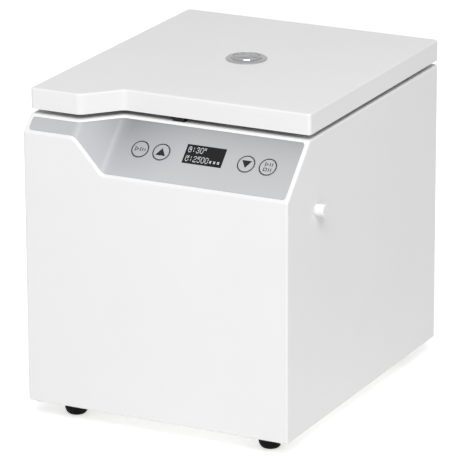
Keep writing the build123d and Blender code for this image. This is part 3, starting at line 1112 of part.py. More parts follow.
# Power switch: a bezel and body through the rear panel, and a rocker on two stub pins
SWITCH_MID_X = X_LEFT + SWITCH_X
ROCKER_Y = Y_BACK + SWITCH_BEZEL_T - ROCKER_IN
ROCKER_HALF = ROCKER_W / 2
with BuildPart() as power_switch:
    with Locations(*on_back(Y_BACK, [(SWITCH_MID_X, INLET_Z)])):
        Box(SWITCH_W, SWITCH_H, SWITCH_BEZEL_T, align=ON_TOP)
        Box(SWITCH_BODY_W, SWITCH_BODY_H, SWITCH_BODY_D, align=BELOW)
    chamfer(power_switch.faces().sort_by(Axis.Y)[-1].edges(), SWITCH_BEZEL_T / 3)
    block((SWITCH_MID_X - ROCKER_HALF - ROCKER_PLAY, ROCKER_Y - ROCKER_TAIL * 2,
           INLET_Z - ROCKER_R - ROCKER_PLAY),
          (SWITCH_MID_X + ROCKER_HALF + ROCKER_PLAY, Y_BACK + SWITCH_BODY_D,
           INLET_Z + ROCKER_R + ROCKER_PLAY), Mode.SUBTRACT)
    rod_along_x(ROCKER_PIN_R + RUN_PLAY, SWITCH_MID_X - ROCKER_HALF - ROCKER_PIN_L - ROCKER_PLAY,
                SWITCH_MID_X + ROCKER_HALF + ROCKER_PIN_L + ROCKER_PLAY, ROCKER_Y, INLET_Z, Mode.SUBTRACT)
power_switch.part.label = "power_switch"
export_step(power_switch.part, "parts/power_switch.step")

ROCKER_FLARE = ROCKER_NOSE + ROCKER_R * tan(radians(ROCKER_TILT))
rocker_out = (0, cos(radians(ROCKER_TILT)), -sin(radians(ROCKER_TILT)))
with BuildPart() as power_rocker:
    with BuildSketch(Plane(origin=(SWITCH_MID_X, ROCKER_Y, INLET_Z), x_dir=rocker_out, z_dir=(1, 0, 0))):
        Circle(ROCKER_R)
        with BuildLine():
            Polyline((-ROCKER_TAIL, -ROCKER_R), (ROCKER_FLARE, -ROCKER_R), (ROCKER_NOSE, 0),
                     (ROCKER_FLARE, ROCKER_R), (-ROCKER_TAIL, ROCKER_R), close=True)
        make_face(mode=Mode.INTERSECT)
    extrude(amount=ROCKER_HALF, both=True)
    rod_along_x(ROCKER_PIN_R, SWITCH_MID_X - ROCKER_HALF - ROCKER_PIN_L,
                SWITCH_MID_X + ROCKER_HALF + ROCKER_PIN_L, ROCKER_Y, INLET_Z)
power_rocker.part.label = "power_rocker"
export_step(power_rocker.part, "parts/power_rocker.step")

# Screws, by size and by the body that they belong to
with BuildPart() as base_screws:
    with Locations(*facing_down(Z_BASE, BOSS_SPOTS + PILLAR_SPOTS)):
        pan_head(LARGE_HEAD_R, LARGE_HEAD_H, LARGE_R, LARGE_L)
base_screws.part.label = "base_screws"
export_step(base_screws.part, "parts/base_screws.step")

with BuildPart() as foot_screws:
    with Locations(*facing_down(FOOT_RECESS_H, FOOT_SPOTS)):
        pan_head(LARGE_HEAD_R, LARGE_HEAD_H, LARGE_R, FOOT_SCREW_L)
foot_screws.part.label = "foot_screws"
export_step(foot_screws.part, "parts/foot_screws.step")

with BuildPart() as body_screws:
    rear_places = on_back(Y_BACK, REAR_SPOTS) + on_back(Y_BACK + HINGE_LEAF_T, HINGE_BODY_SPOTS)
    with Locations(*rear_places, *facing_up(Z_POWER + BOARD_T, POWER_SPOTS), *behind_board()):
        pan_head(SMALL_HEAD_R, SMALL_HEAD_H, SMALL_R, SMALL_L)
    with Locations(*facing_down(Z_UNDER_DECK - BRACKET_T, BRACKET_SPOTS)):
        pan_head(SMALL_HEAD_R, SMALL_HEAD_H, SMALL_R, BRACKET_SCREW_L)
body_screws.part.label = "body_screws"
export_step(body_screws.part, "parts/body_screws.step")

with BuildPart() as lid_screws:
    under_places = facing_down(Z_LINER, LID_POST_SPOTS)
    hook_places = facing_down(Z_LINER - HOOK_FLANGE_T, HOOK_SCREW_SPOTS)
    with Locations(*under_places, *hook_places, *on_back(Y_BACK + HINGE_LEAF_T, HINGE_LID_SPOTS)):
        pan_head(SMALL_HEAD_R, SMALL_HEAD_H, SMALL_R, SMALL_L)
lid_screws.part.label = "lid_screws"
export_step(lid_screws.part, "parts/lid_screws.step")
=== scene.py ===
from math import cos, pi, radians, sin

import bpy
from mathutils import Matrix, Vector


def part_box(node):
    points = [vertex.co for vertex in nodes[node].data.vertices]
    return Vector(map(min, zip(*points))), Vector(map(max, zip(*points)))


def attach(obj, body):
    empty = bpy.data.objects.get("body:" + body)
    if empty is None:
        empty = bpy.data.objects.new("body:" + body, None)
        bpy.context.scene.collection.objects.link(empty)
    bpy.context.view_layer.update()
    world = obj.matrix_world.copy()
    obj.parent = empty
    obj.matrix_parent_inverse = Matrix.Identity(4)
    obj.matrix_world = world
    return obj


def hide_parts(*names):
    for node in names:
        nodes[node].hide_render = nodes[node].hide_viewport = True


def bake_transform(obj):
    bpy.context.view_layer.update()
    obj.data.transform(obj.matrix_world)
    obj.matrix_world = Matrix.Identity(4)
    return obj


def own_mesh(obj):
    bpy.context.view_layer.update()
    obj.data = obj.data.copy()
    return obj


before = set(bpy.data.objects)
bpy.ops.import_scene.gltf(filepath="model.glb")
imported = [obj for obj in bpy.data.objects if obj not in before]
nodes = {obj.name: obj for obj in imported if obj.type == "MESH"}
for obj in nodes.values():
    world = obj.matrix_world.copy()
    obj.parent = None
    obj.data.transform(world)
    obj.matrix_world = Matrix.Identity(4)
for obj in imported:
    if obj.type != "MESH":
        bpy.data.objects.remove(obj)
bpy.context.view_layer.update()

MM = 0.001
MERGE = 0.00001
CENTRE = (0, 0, 0)

# Camera
CAMERA_AT = Vector((1.5235, -3.04605, 1.25148))
CAMERA_YAW = 0.467
CAMERA_PITCH = 0.3128
CAMERA_ROLL = -0.0044
LENS_MM = 306.12
SENSOR_MM = 36.0
FAR_CLIP = 50.0

ahead = Vector((-sin(CAMERA_YAW) * cos(CAMERA_PITCH), cos(CAMERA_YAW) * cos(CAMERA_PITCH),
                -sin(CAMERA_PITCH)))
level = Vector((cos(CAMERA_YAW), sin(CAMERA_YAW), 0.0))
lifted = level.cross(ahead)
right = level * cos(CAMERA_ROLL) + lifted * sin(CAMERA_ROLL)
up = lifted * cos(CAMERA_ROLL) - level * sin(CAMERA_ROLL)
camera_data = bpy.data.cameras.new("camera")
camera_data.lens = LENS_MM
camera_data.sensor_width = SENSOR_MM
camera_data.clip_end = FAR_CLIP
camera = bpy.data.objects.new("camera", camera_data)
turn = Matrix((right, up, -ahead)).transposed().to_4x4()
camera.matrix_world = Matrix.Translation(CAMERA_AT) @ turn
bpy.context.scene.collection.objects.link(camera)
bpy.context.scene.camera = camera
bpy.context.scene.view_settings.view_transform = "Standard"


# Modelling helpers
def deselect():
    """Leaves nothing selected."""
    bpy.ops.object.select_all(action="DESELECT")


def pick(piece):
    """Selects one piece alone and makes it the active one."""
    deselect()
    piece.select_set(True)
    bpy.context.view_layer.objects.active = piece


def edit_all():
    """Opens the active piece for editing with all of it selected."""
    bpy.ops.object.mode_set(mode="EDIT")
    bpy.ops.mesh.select_all(action="SELECT")


def settle(piece, name):
    """Names a new piece and puts its place into its mesh."""
    piece.name = name
    piece.data.name = name
    pick(piece)
    bpy.ops.object.transform_apply(location=True, rotation=True, scale=True)
    return piece


def apply_all(piece):
    """Applies every modifier of a piece."""
    pick(piece)
    for modifier in list(piece.modifiers):
        bpy.ops.object.modifier_apply(modifier=modifier.name)


def thicken(piece, thickness):
    """Gives a flat piece a thickness outwards from its face."""
    modifier = piece.modifiers.new("thickness", "SOLIDIFY")
    modifier.thickness = thickness
    modifier.offset = 1.0
    apply_all(piece)


def round_edges(piece, width, segments, angle):
    """Bevels a piece's edges that are sharper than an angle in degrees."""
    modifier = piece.modifiers.new("edges", "BEVEL")
    modifier.width = width
    modifier.segments = segments
    modifier.limit_method = "ANGLE"
    modifier.angle_limit = radians(angle)
    apply_all(piece)


def smooth(piece, angle):
    """Shades a piece smooth, except across edges sharper than an angle in degrees."""
    pick(piece)
    bpy.ops.object.shade_smooth_by_angle(angle=radians(angle))


def join(pieces, name):
    """Joins pieces into one with a name."""
    deselect()
    for piece in pieces:
        piece.select_set(True)
    bpy.context.view_layer.objects.active = pieces[0]
    if len(pieces) > 1:
        bpy.ops.object.join()
    pieces[0].name = name
    pieces[0].data.name = name
    return pieces[0]


def finish_piece(piece, material, body, slot, *replaced):
    """Gives a piece its material and body, and hides the nodes that it stands for; the slot is not
    used.
    """
    piece.data.materials.clear()
    piece.data.materials.append(material)
    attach(piece, body)
    if replaced:
        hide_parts(*replaced)
    return piece


# Materials
PATTERN_LOW = 0.3
PATTERN_HIGH = 0.7
UNSTRETCHED = (1.0, 1.0, 1.0)


def new_material(name):
    """A new material that holds one plain shader; gives the material, its tree and the shader."""
    material = bpy.data.materials.new(name)
    material.use_nodes = True
    tree = material.node_tree
    tree.nodes.clear()
    output = tree.nodes.new("ShaderNodeOutputMaterial")
    shader = tree.nodes.new("ShaderNodeBsdfPrincipled")
    tree.links.new(shader.outputs["BSDF"], output.inputs["Surface"])
    return material, tree, shader


def noise(tree, scale, detail=2.0, stretch=UNSTRETCHED):
    """A noise pattern on object coordinates, which may be stretched as on brushed metal."""
    coordinates = tree.nodes.new("ShaderNodeTexCoord")
    mapping = tree.nodes.new("ShaderNodeMapping")
    mapping.inputs["Scale"].default_value = stretch
    pattern = tree.nodes.new("ShaderNodeTexNoise")
    pattern.inputs["Scale"].default_value = scale
    pattern.inputs["Detail"].default_value = detail
    tree.links.new(coordinates.outputs["Object"], mapping.inputs["Vector"])
    tree.links.new(mapping.outputs["Vector"], pattern.inputs["Vector"])
    return pattern.outputs["Fac"]


def spread(tree, value, low, high, from_low=PATTERN_LOW, from_high=PATTERN_HIGH):
    """Maps a pattern's usual range, or another stated one, onto low to high."""
    span = tree.nodes.new("ShaderNodeMapRange")
    span.inputs["From Min"].default_value = from_low
    span.inputs["From Max"].default_value = from_high
    span.inputs["To Min"].default_value = low
    span.inputs["To Max"].default_value = high
    tree.links.new(value, span.inputs["Value"])
    return span.outputs["Result"]


def two_tone(tree, value, first, second):
    """A colour that a pattern moves between two tones."""
    ramp = tree.nodes.new("ShaderNodeValToRGB")
    ramp.color_ramp.elements[0].position = PATTERN_LOW
    ramp.color_ramp.elements[0].color = (*first, 1.0)
    ramp.color_ramp.elements[1].position = PATTERN_HIGH
    ramp.color_ramp.elements[1].color = (*second, 1.0)
    tree.links.new(value, ramp.inputs["Fac"])
    return ramp.outputs["Color"]


def bump(tree, value, distance):
    """A small surface relief from a pattern, in metres."""
    relief = tree.nodes.new("ShaderNodeBump")
    relief.inputs["Distance"].default_value = distance
    relief.inputs["Strength"].default_value = 1.0
    tree.links.new(value, relief.inputs["Height"])
    return relief.outputs["Normal"]


PATCH = 9.0
PATCH_DETAIL = 3.0


def shaded(name, first, second, roughness, grain, relief, metallic=0.0, stretch=UNSTRETCHED, gloss=0.5):
    """A finish whose tone drifts over large patches and whose grain shows in roughness and relief."""
    material, tree, shader = new_material(name)
    drift = noise(tree, PATCH, PATCH_DETAIL)
    fine = noise(tree, grain, stretch=stretch)
    tree.links.new(two_tone(tree, drift, first, second), shader.inputs["Base Color"])
    tree.links.new(spread(tree, fine, *roughness), shader.inputs["Roughness"])
    tree.links.new(bump(tree, fine, relief), shader.inputs["Normal"])
    shader.inputs["Metallic"].default_value = metallic
    shader.inputs["Specular IOR Level"].default_value = gloss
    return material


def grey(tone):
    """A neutral tone."""
    return (tone, tone, tone)


# The overlay's painted shade from the lid's overhang: darker round its inner fold and up the slope
# towards the lid, with less of it at the left
FOLD_SHADE_AT = (-0.052, -0.124, 0.281)
FOLD_SHADE_REACH = 0.070
SLOPE_SHADE_HEIGHTS = (0.2425, 0.2835)
SHADE_EASE_ACROSS = (-0.085, -0.045)
SHADE_LEAST_SHARE = 0.25
FILM_LEFT_TONE = (0.53, 0.538, 0.552, 1.0)
# The film's own grey low on the slope, then painted shade darkening it towards the lid
FILM_GREY_AND_SLOPE_SHADE = [(0.0, 0.545), (0.3, 0.515), (0.55, 0.49), (0.77, 0.435), (0.90, 0.39), (1.0, 0.335)]
FOLD_SHADE_TONES = [(0.0, 1.0), (0.45, 0.88), (0.9, 0.70)]
FILM_TINT = (0.985, 1.0, 1.025)
FILM_GRAIN = 2600.0
FILM_ROUGHNESS = (0.36, 0.44)
FILM_RELIEF = 0.000006


def tone_ramp(tree, value, stops):
    """A slightly cool tone that follows a list of places and tones; a full tone isn't tinted."""
    ramp = tree.nodes.new("ShaderNodeValToRGB")
    while len(ramp.color_ramp.elements) < len(stops):
        ramp.color_ramp.elements.new(1.0)
    for element, (place, tone) in zip(ramp.color_ramp.elements, stops):
        element.position = place
        element.color = (*(tone * tint if tone < 1.0 else tone for tint in FILM_TINT), 1.0)
    tree.links.new(value, ramp.inputs["Fac"])
    return ramp.outputs["Color"]


def mixed_tone(tree, way, share, first, second):
    """Two tones mixed in a stated way and share; each may be a socket or a fixed value."""
    mix = tree.nodes.new("ShaderNodeMixRGB")
    mix.blend_type = way
    for socket, value in zip(mix.inputs, (share, first, second)):
        if isinstance(value, bpy.types.NodeSocket):
            tree.links.new(value, socket)
        else:
            socket.default_value = value
    return mix.outputs["Color"]


def painted_shade_film(name):
    """A grey film with painted shade: darker round the inner fold and up the slope towards the lid,
    nearly even at the left.
    """
    material, tree, shader = new_material(name)
    coordinates = tree.nodes.new("ShaderNodeTexCoord")
    mapping = tree.nodes.new("ShaderNodeMapping")
    mapping.vector_type = "TEXTURE"
    mapping.inputs["Location"].default_value = FOLD_SHADE_AT
    mapping.inputs["Scale"].default_value = (FOLD_SHADE_REACH, FOLD_SHADE_REACH, FOLD_SHADE_REACH)
    fold_shade_ball = tree.nodes.new("ShaderNodeTexGradient")
    fold_shade_ball.gradient_type = "SPHERICAL"
    tree.links.new(coordinates.outputs["Object"], mapping.inputs["Vector"])
    tree.links.new(mapping.outputs["Vector"], fold_shade_ball.inputs["Vector"])
    parts = tree.nodes.new("ShaderNodeSeparateXYZ")
    tree.links.new(coordinates.outputs["Object"], parts.inputs["Vector"])
    height = spread(tree, parts.outputs["Z"], 0.0, 1.0, *SLOPE_SHADE_HEIGHTS)
    # Painted shade: darker up the slope towards the lid and round the inner fold, eased off at the left
    slope_shade = tone_ramp(tree, height, FILM_GREY_AND_SLOPE_SHADE)
    fold_shade = tone_ramp(tree, fold_shade_ball.outputs["Fac"], FOLD_SHADE_TONES)
    painted_shade_tone = mixed_tone(tree, "MULTIPLY", 1.0, slope_shade, fold_shade)
    share = spread(tree, parts.outputs["X"], SHADE_LEAST_SHARE, 1.0, *SHADE_EASE_ACROSS)
    film_with_shade = mixed_tone(tree, "MIX", share, FILM_LEFT_TONE, painted_shade_tone)
    tree.links.new(film_with_shade, shader.inputs["Base Color"])
    fine = noise(tree, FILM_GRAIN)
    tree.links.new(spread(tree, fine, *FILM_ROUGHNESS), shader.inputs["Roughness"])
    tree.links.new(bump(tree, fine, FILM_RELIEF), shader.inputs["Normal"])
    return material


# Each finish: two tones, the range of roughness, the grain's scale and the relief in metres
white_plastic = shaded("white_plastic", grey(0.862), grey(0.878), (0.36, 0.44), 1400.0, 0.000010)
# The overlay and the keys carry painted shade from the lid's overhang
overlay_film_painted_shade = painted_shade_film("overlay_film_painted_shade")
key_film_painted_shade = painted_shade_film("key_film_painted_shade")
chrome = shaded("chrome", grey(0.46), grey(0.54), (0.15, 0.24), 400.0, 0.000002, metallic=1.0)
rubber = shaded("rubber", grey(0.006), grey(0.012), (0.62, 0.8), 1800.0, 0.000030, gloss=0.12)
black_moulding = shaded("black_moulding", grey(0.012), grey(0.02), (0.42, 0.56), 2200.0, 0.000015,
                        gloss=0.3)
brushed_steel = shaded("brushed_steel", grey(0.52), grey(0.58), (0.24, 0.40), 900.0, 0.000006,
                       metallic=1.0, stretch=(1.0, 1.0, 14.0))
zinc_steel = shaded("zinc_steel", (0.58, 0.58, 0.55), (0.66, 0.66, 0.64), (0.32, 0.48), 700.0,
                    0.000008, metallic=1.0)
painted_steel = shaded("painted_steel", grey(0.74), grey(0.77), (0.45, 0.6), 1100.0, 0.000022)
anodised = shaded("anodised", grey(0.60), grey(0.66), (0.30, 0.42), 1600.0, 0.000005, metallic=1.0)
holder_moulding = shaded("holder_moulding", grey(0.04), grey(0.055), (0.46, 0.6), 1900.0, 0.000018)
board_mask = shaded("board_mask", (0.012, 0.10, 0.035), (0.02, 0.14, 0.05), (0.25, 0.36), 500.0,
                    0.000010)
contact_brass = shaded("contact_brass", (0.72, 0.56, 0.26), (0.78, 0.62, 0.32), (0.2, 0.3), 900.0,
                       0.000004, metallic=1.0)
display_glass = shaded("display_glass", grey(0.010), grey(0.014), (0.16, 0.24), 500.0, 0.000001,
                       gloss=0.2)
ink = shaded("ink", grey(0.010), grey(0.016), (0.5, 0.6), 1500.0, 0.000002, gloss=0.25)
white_ink = shaded("white_ink", grey(0.78), grey(0.84), (0.5, 0.6), 1500.0, 0.000002)
spring_wire = shaded("spring_wire", grey(0.42), grey(0.5), (0.25, 0.35), 1200.0, 0.000003, metallic=1.0)

LENS_TONES = ((0.60, 0.62, 0.63), (0.66, 0.68, 0.69))
LENS_DRIFT = 300.0
LENS_ROUGHNESS = (0.02, 0.05)
LENS_CLEARNESS = 0.72
LENS_BENDING = 1.49
DOT_TONES = ((0.66, 0.68, 0.70), (0.74, 0.76, 0.78))
DOT_LIGHT_TONES = ((0.62, 0.64, 0.66), (0.74, 0.76, 0.78))
DOT_DRIFT = 900.0
DOT_GLOW = 0.25


def clear_lens():
    """Slightly tinted clear glass with a faint drift in its tone and gloss."""
    material, tree, shader = new_material("clear_lens")
    drift = noise(tree, LENS_DRIFT)
    tree.links.new(two_tone(tree, drift, *LENS_TONES), shader.inputs["Base Color"])
    tree.links.new(spread(tree, drift, *LENS_ROUGHNESS), shader.inputs["Roughness"])
    shader.inputs["Transmission Weight"].default_value = LENS_CLEARNESS
    shader.inputs["IOR"].default_value = LENS_BENDING
    return material


def lit_dots():
    """The display's lit dots."""
    material, tree, shader = new_material("lit_dots")
    drift = noise(tree, DOT_DRIFT)
    tree.links.new(two_tone(tree, drift, *DOT_TONES), shader.inputs["Base Color"])
    tree.links.new(two_tone(tree, drift, *DOT_LIGHT_TONES), shader.inputs["Emission Color"])
    shader.inputs["Emission Strength"].default_value = DOT_GLOW
    shader.inputs["Roughness"].default_value = 0.5
    return material


lens_glass = clear_lens()
dot_light = lit_dots()

NODE_FINISH = {
    "casing": white_plastic, "lid_shell": white_plastic, "release_button": white_plastic,
    "rear_panel": painted_steel, "motor_can": painted_steel, "base_plate": zinc_steel,
    "feet": rubber, "lid_gasket": rubber, "motor_dampers": rubber, "shaft_boot": rubber,
    "chamber_bowl": brushed_steel, "lid_liner": brushed_steel, "hinge_leaves_body": brushed_steel,
    "hinge_leaves_lid": brushed_steel, "hinge_pins": brushed_steel, "latch_leaf": brushed_steel,
    "motor_shaft": brushed_steel, "motor_bearings": brushed_steel, "release_rod": brushed_steel,
    "release_spring": spring_wire, "motor_end_cap": anodised, "rotor_yoke": anodised,
    "motor_stator": zinc_steel, "motor_rotor": zinc_steel, "motor_plate": zinc_steel,
    "motor_screws": zinc_steel, "motor_pillars": zinc_steel, "damper_nuts": zinc_steel,
    "holder_screws": zinc_steel, "latch_bracket": zinc_steel, "base_screws": zinc_steel,
    "foot_screws": zinc_steel, "body_screws": zinc_steel, "lid_screws": zinc_steel,
    "plate_holder_left": holder_moulding, "plate_holder_right": holder_moulding,
    "rotor_nut": black_moulding, "latch_hook": black_moulding, "lid_switch": black_moulding,
    "button_guide": black_moulding, "display_module": black_moulding, "key_switches": black_moulding,
    "power_inlet": black_moulding, "power_switch": black_moulding, "power_rocker": black_moulding,
    "window_ring": chrome, "window_lens": lens_glass, "control_overlay": overlay_film_painted_shade,
    "key_program": key_film_painted_shade, "key_up": key_film_painted_shade, "key_down": key_film_painted_shade, "key_start": key_film_painted_shade,
    "display_window": display_glass, "control_board": board_mask, "power_board": board_mask,
    "inlet_pins": contact_brass,
}
for node_name, finish in NODE_FINISH.items():
    cad_node = nodes[node_name]
    if not cad_node.material_slots:
        cad_node.data.materials.append(finish)
    for material_slot in cad_node.material_slots:
        material_slot.material = finish

# Control panel marks
PANEL_EDGE = Vector((-0.1343, -0.11865, 0.2835))
PANEL_OUT = Vector((0.0, -1.0, 1.0)).normalized()
PANEL_UP = Vector((0.0, 1.0, 1.0)).normalized()
PANEL_TURN = (radians(45.0), 0.0, 0.0)
# How far the keys' tops and the display's face lie below the slope's plane
KEY_TOP = 0.2 * MM
FILM_TOP = 0.4 * MM
INK_T = 0.04 * MM


def on_panel(x, down, depth):
    """A point on the right-hand slope: x from the left side, down from the deck, and a depth."""
    return PANEL_EDGE + Vector((x, 0.0, 0.0)) - PANEL_UP * down - PANEL_OUT * depth


KEY_DOWN = 31.0 * MM
KEY_X = {"key_program": 104.7 * MM, "key_up": 125.7 * MM,
         "key_down": 208.7 * MM, "key_start": 229.7 * MM}
KEY_BODY = {"key_program": "program_key", "key_up": "up_key",
            "key_down": "down_key", "key_start": "start_key"}
# The marks on the keys; a ring has an outer and an inner radius
KEY_RING = (8.2 * MM, 7.35 * MM)
ARROW_R = 4.9 * MM
ARROW_SHIFT = 1.0 * MM
ARROW_STRETCH = 1.12
RUN_LEFT = 3.6 * MM
RUN_RING = (2.7 * MM, 1.5 * MM)
RUN_STROKES = (4.0 * MM, 3.2 * MM, 2.4 * MM)
RUN_FROM = 0.4 * MM
RUN_STEP = 2.2 * MM
STROKE_W = 0.75 * MM
STROKE_H = 3.2 * MM
STROKES_AT = (1.5 * MM, 3.6 * MM)
ROW_SHIFT = 2.6 * MM
START_LEFT = 2.2 * MM
START_RING = (2.4 * MM, 1.3 * MM)
STOP_LEFT = 1.9 * MM
STOP_RING = (2.4 * MM, 1.5 * MM)
TO_RIGHT = Vector((1.0, 0.0, 0.0))
POINT_RIGHT = -pi / 2
POINT_DOWN = pi
LEVEL_SQUARE = pi / 4


def lay_flat(mark, name, centre, lean):
    """Leans a mark onto its face, puts it in its place and gives it the ink's thickness."""
    mark.rotation_euler = lean
    mark.location = centre
    settle(mark, name)
    thicken(mark, INK_T)
    return mark


def flat_ring(name, centre, outer, inner, sides=96, turned=0.0, lean=PANEL_TURN):
    """A printed ring, or an outline with a few sides, flat on the slope or another face."""
    deselect()
    bpy.ops.mesh.primitive_circle_add(vertices=sides, radius=outer, fill_type="NOTHING",
                                      location=CENTRE, rotation=(0.0, 0.0, turned))
    ring = bpy.context.active_object
    edit_all()
    bpy.ops.mesh.extrude_region_move()
    bpy.ops.transform.resize(value=(inner / outer, inner / outer, 1.0), center_override=CENTRE)
    bpy.ops.mesh.select_all(action="SELECT")
    bpy.ops.mesh.normals_make_consistent(inside=False)
    bpy.ops.object.mode_set(mode="OBJECT")
    if ring.data.polygons[0].normal.z < 0:
        edit_all()
        bpy.ops.mesh.flip_normals()
        bpy.ops.object.mode_set(mode="OBJECT")
    settle(ring, name)
    return lay_flat(ring, name, centre, lean)


def flat_shape(name, centre, radius, sides, turned, stretch=1.0):
    """A printed filled shape with a few sides, flat on the slope."""
    deselect()
    bpy.ops.mesh.primitive_circle_add(vertices=sides, radius=radius, fill_type="NGON",
                                      location=CENTRE, rotation=(0.0, 0.0, turned))
    shape = bpy.context.active_object
    settle(shape, name)
    shape.scale = (stretch, 1.0, 1.0)
    return lay_flat(shape, name, centre, PANEL_TURN)


def flat_bar(name, centre, width, height, lean=PANEL_TURN):
    """A printed bar, flat on the slope or another face."""
    deselect()
    bpy.ops.mesh.primitive_plane_add(size=1.0, location=CENTRE)
    bar = bpy.context.active_object
    bar.scale = (width, height, 1.0)
    settle(bar, name)
    return lay_flat(bar, name, centre, lean)


for key_name, key_x in KEY_X.items():
    spot = on_panel(key_x, KEY_DOWN, KEY_TOP)
    marks = [flat_ring("ring", spot, *KEY_RING)]
    if key_name == "key_up":
        marks.append(flat_shape("arrow", spot - PANEL_UP * ARROW_SHIFT, ARROW_R, 3, 0.0, ARROW_STRETCH))
    elif key_name == "key_down":
        marks.append(flat_shape("arrow", spot + PANEL_UP * ARROW_SHIFT, ARROW_R, 3, POINT_DOWN,
                                ARROW_STRETCH))
    elif key_name == "key_program":
        # run: an arrow outline and three strokes, each shorter than the last
        marks.append(flat_ring("run", spot - TO_RIGHT * RUN_LEFT, *RUN_RING, 3, POINT_RIGHT))
        for step, tall in enumerate(RUN_STROKES):
            across = TO_RIGHT * (RUN_FROM + step * RUN_STEP)
            marks.append(flat_bar("stroke", spot + across, STROKE_W, tall))
    else:
        # start above and stop below, each with two strokes
        high_row = spot + PANEL_UP * ROW_SHIFT
        low_row = spot - PANEL_UP * ROW_SHIFT
        marks.append(flat_ring("start", high_row - TO_RIGHT * START_LEFT, *START_RING, 3, POINT_RIGHT))
        marks.append(flat_ring("stop", low_row - TO_RIGHT * STOP_LEFT, *STOP_RING, 4, LEVEL_SQUARE))
        for row in (high_row, low_row):
            for across in STROKES_AT:
                marks.append(flat_bar("stroke", row + TO_RIGHT * across, STROKE_W, STROKE_H))
    finish_piece(join(marks, key_name + "_marks"), ink, KEY_BODY[key_name], "display_black")

# Display: two lines of lit dots, each made from a grid of cells of which the dark ones are removed
GLYPHS = {
    "0": "01110 10001 10001 10001 10001 10001 01110",
    "2": "01110 10001 00001 00110 01000 10000 11111",
    "3": "01110 10001 00001 00110 00001 10001 01110",
    "5": "11111 10000 11110 00001 00001 10001 01110",
    ":": "00000 00100 00100 00000 00100 00100 00000",
    "clock": "01110 10101 10101 10111 10001 10001 01110",
    "turn": "01101 10011 10111 10000 10001 10001 01110",
    "ticks": "10100 10100 10100 00000 00000 00000 00000",
    "block": "00000 00000 00000 01110 01110 01110 00000",
}
DISPLAY_X = 167.15 * MM
DISPLAY_DOWN = 28.85 * MM
DOT_W = 0.64 * MM
DOT_H = 0.86 * MM
DOT_GAP = 0.09 * MM
COLUMNS_EACH = 6
GLYPH_ROWS = 7
LINE_LEFT = -17.0 * MM
TIME_LINE = -7.6 * MM
SPEED_LINE = 1.4 * MM


def dot_line(name, signs, left, top):
    """One line of the display: a grid of dots with the dark ones deleted."""
    columns = COLUMNS_EACH * len(signs)
    width = columns * DOT_W
    height = GLYPH_ROWS * DOT_H
    deselect()
    bpy.ops.mesh.primitive_grid_add(x_subdivisions=columns, y_subdivisions=GLYPH_ROWS, size=1.0,
                                    location=CENTRE)
    grid = bpy.context.active_object
    grid.scale = (width, height, 1.0)
    settle(grid, name)
    bpy.ops.object.mode_set(mode="EDIT")
    bpy.ops.mesh.select_all(action="DESELECT")
    bpy.ops.object.mode_set(mode="OBJECT")
    bpy.context.tool_settings.mesh_select_mode = (False, False, True)
    for face in grid.data.polygons:
        column = int((face.center.x + width / 2) / DOT_W)
        row = int((height / 2 - face.center.y) / DOT_H)
        rows = GLYPHS[signs[column // COLUMNS_EACH]].split()
        place = column % COLUMNS_EACH
        face.select = place >= len(rows[row]) or rows[row][place] == "0"
    bpy.ops.object.mode_set(mode="EDIT")
    bpy.ops.mesh.delete(type="FACE")
    bpy.ops.mesh.select_all(action="SELECT")
    bpy.ops.mesh.inset(thickness=DOT_GAP, use_individual=True, use_boundary=True)
    bpy.ops.mesh.select_all(action="INVERT")
    bpy.ops.mesh.delete(type="FACE")
    bpy.ops.object.mode_set(mode="OBJECT")
    middle_x = DISPLAY_X + left + width / 2
    centre = on_panel(middle_x, DISPLAY_DOWN + top + height / 2, FILM_TOP)
    return lay_flat(grid, name, centre, PANEL_TURN)


lines = [
    dot_line("line_time", ["clock", ":", "3", "0", "ticks"], LINE_LEFT, TIME_LINE),
    dot_line("line_speed", ["turn", ":", "2", "5", "0", "0", "block", "block", "block"],
             LINE_LEFT, SPEED_LINE),
]
finish_piece(join(lines, "display_dots"), dot_light, "base", "white_shell")

# Window bezel
ring_low, ring_high = [Vector(corner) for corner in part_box("window_ring")]
window_middle = (ring_low + ring_high) / 2
RING_R = (ring_high.x - ring_low.x) / 2
BEZEL_SIDES = 128
# The bezel's outline, walked round once: out from the node's edge and above its top, in millimetres
BEZEL_LINE = [(0.15, -1.40), (0.15, -0.35), (-0.55, 0.12), (-2.60, 0.35), (-3.10, 0.15), (-3.50, 0.35),
              (-5.00, 0.65), (-5.55, 1.55), (-6.08, 1.60), (-6.15, 1.45), (-6.15, 0.60), (-3.00, -0.10)]
deselect()
start_out, start_up = BEZEL_LINE[0]
bpy.ops.mesh.primitive_circle_add(vertices=BEZEL_SIDES, radius=RING_R + start_out * MM,
                                  fill_type="NOTHING", location=(0, 0, start_up * MM))
bezel = settle(bpy.context.active_object, "window_bezel")
bpy.ops.object.mode_set(mode="EDIT")
bpy.context.tool_settings.mesh_select_mode = (True, False, False)
bpy.ops.mesh.select_all(action="SELECT")
radius_now, height_now = RING_R + start_out * MM, start_up * MM
for out, above in BEZEL_LINE[1:] + BEZEL_LINE[:1]:
    radius_next = RING_R + out * MM
    share = radius_next / radius_now
    bpy.ops.mesh.extrude_region_move(TRANSFORM_OT_translate={"value": (0, 0, above * MM - height_now)})
    bpy.ops.transform.resize(value=(share, share, 1.0), center_override=CENTRE)
    radius_now, height_now = radius_next, above * MM
bpy.ops.mesh.select_all(action="SELECT")
bpy.ops.mesh.remove_doubles(threshold=MERGE)
bpy.ops.mesh.normals_make_consistent(inside=False)
bpy.ops.object.mode_set(mode="OBJECT")
bezel.location = (window_middle.x, window_middle.y, ring_high.z)
settle(bezel, "window_bezel")
smooth(bezel, angle=40.0)
finish_piece(bezel, chrome, "lid", "chrome")

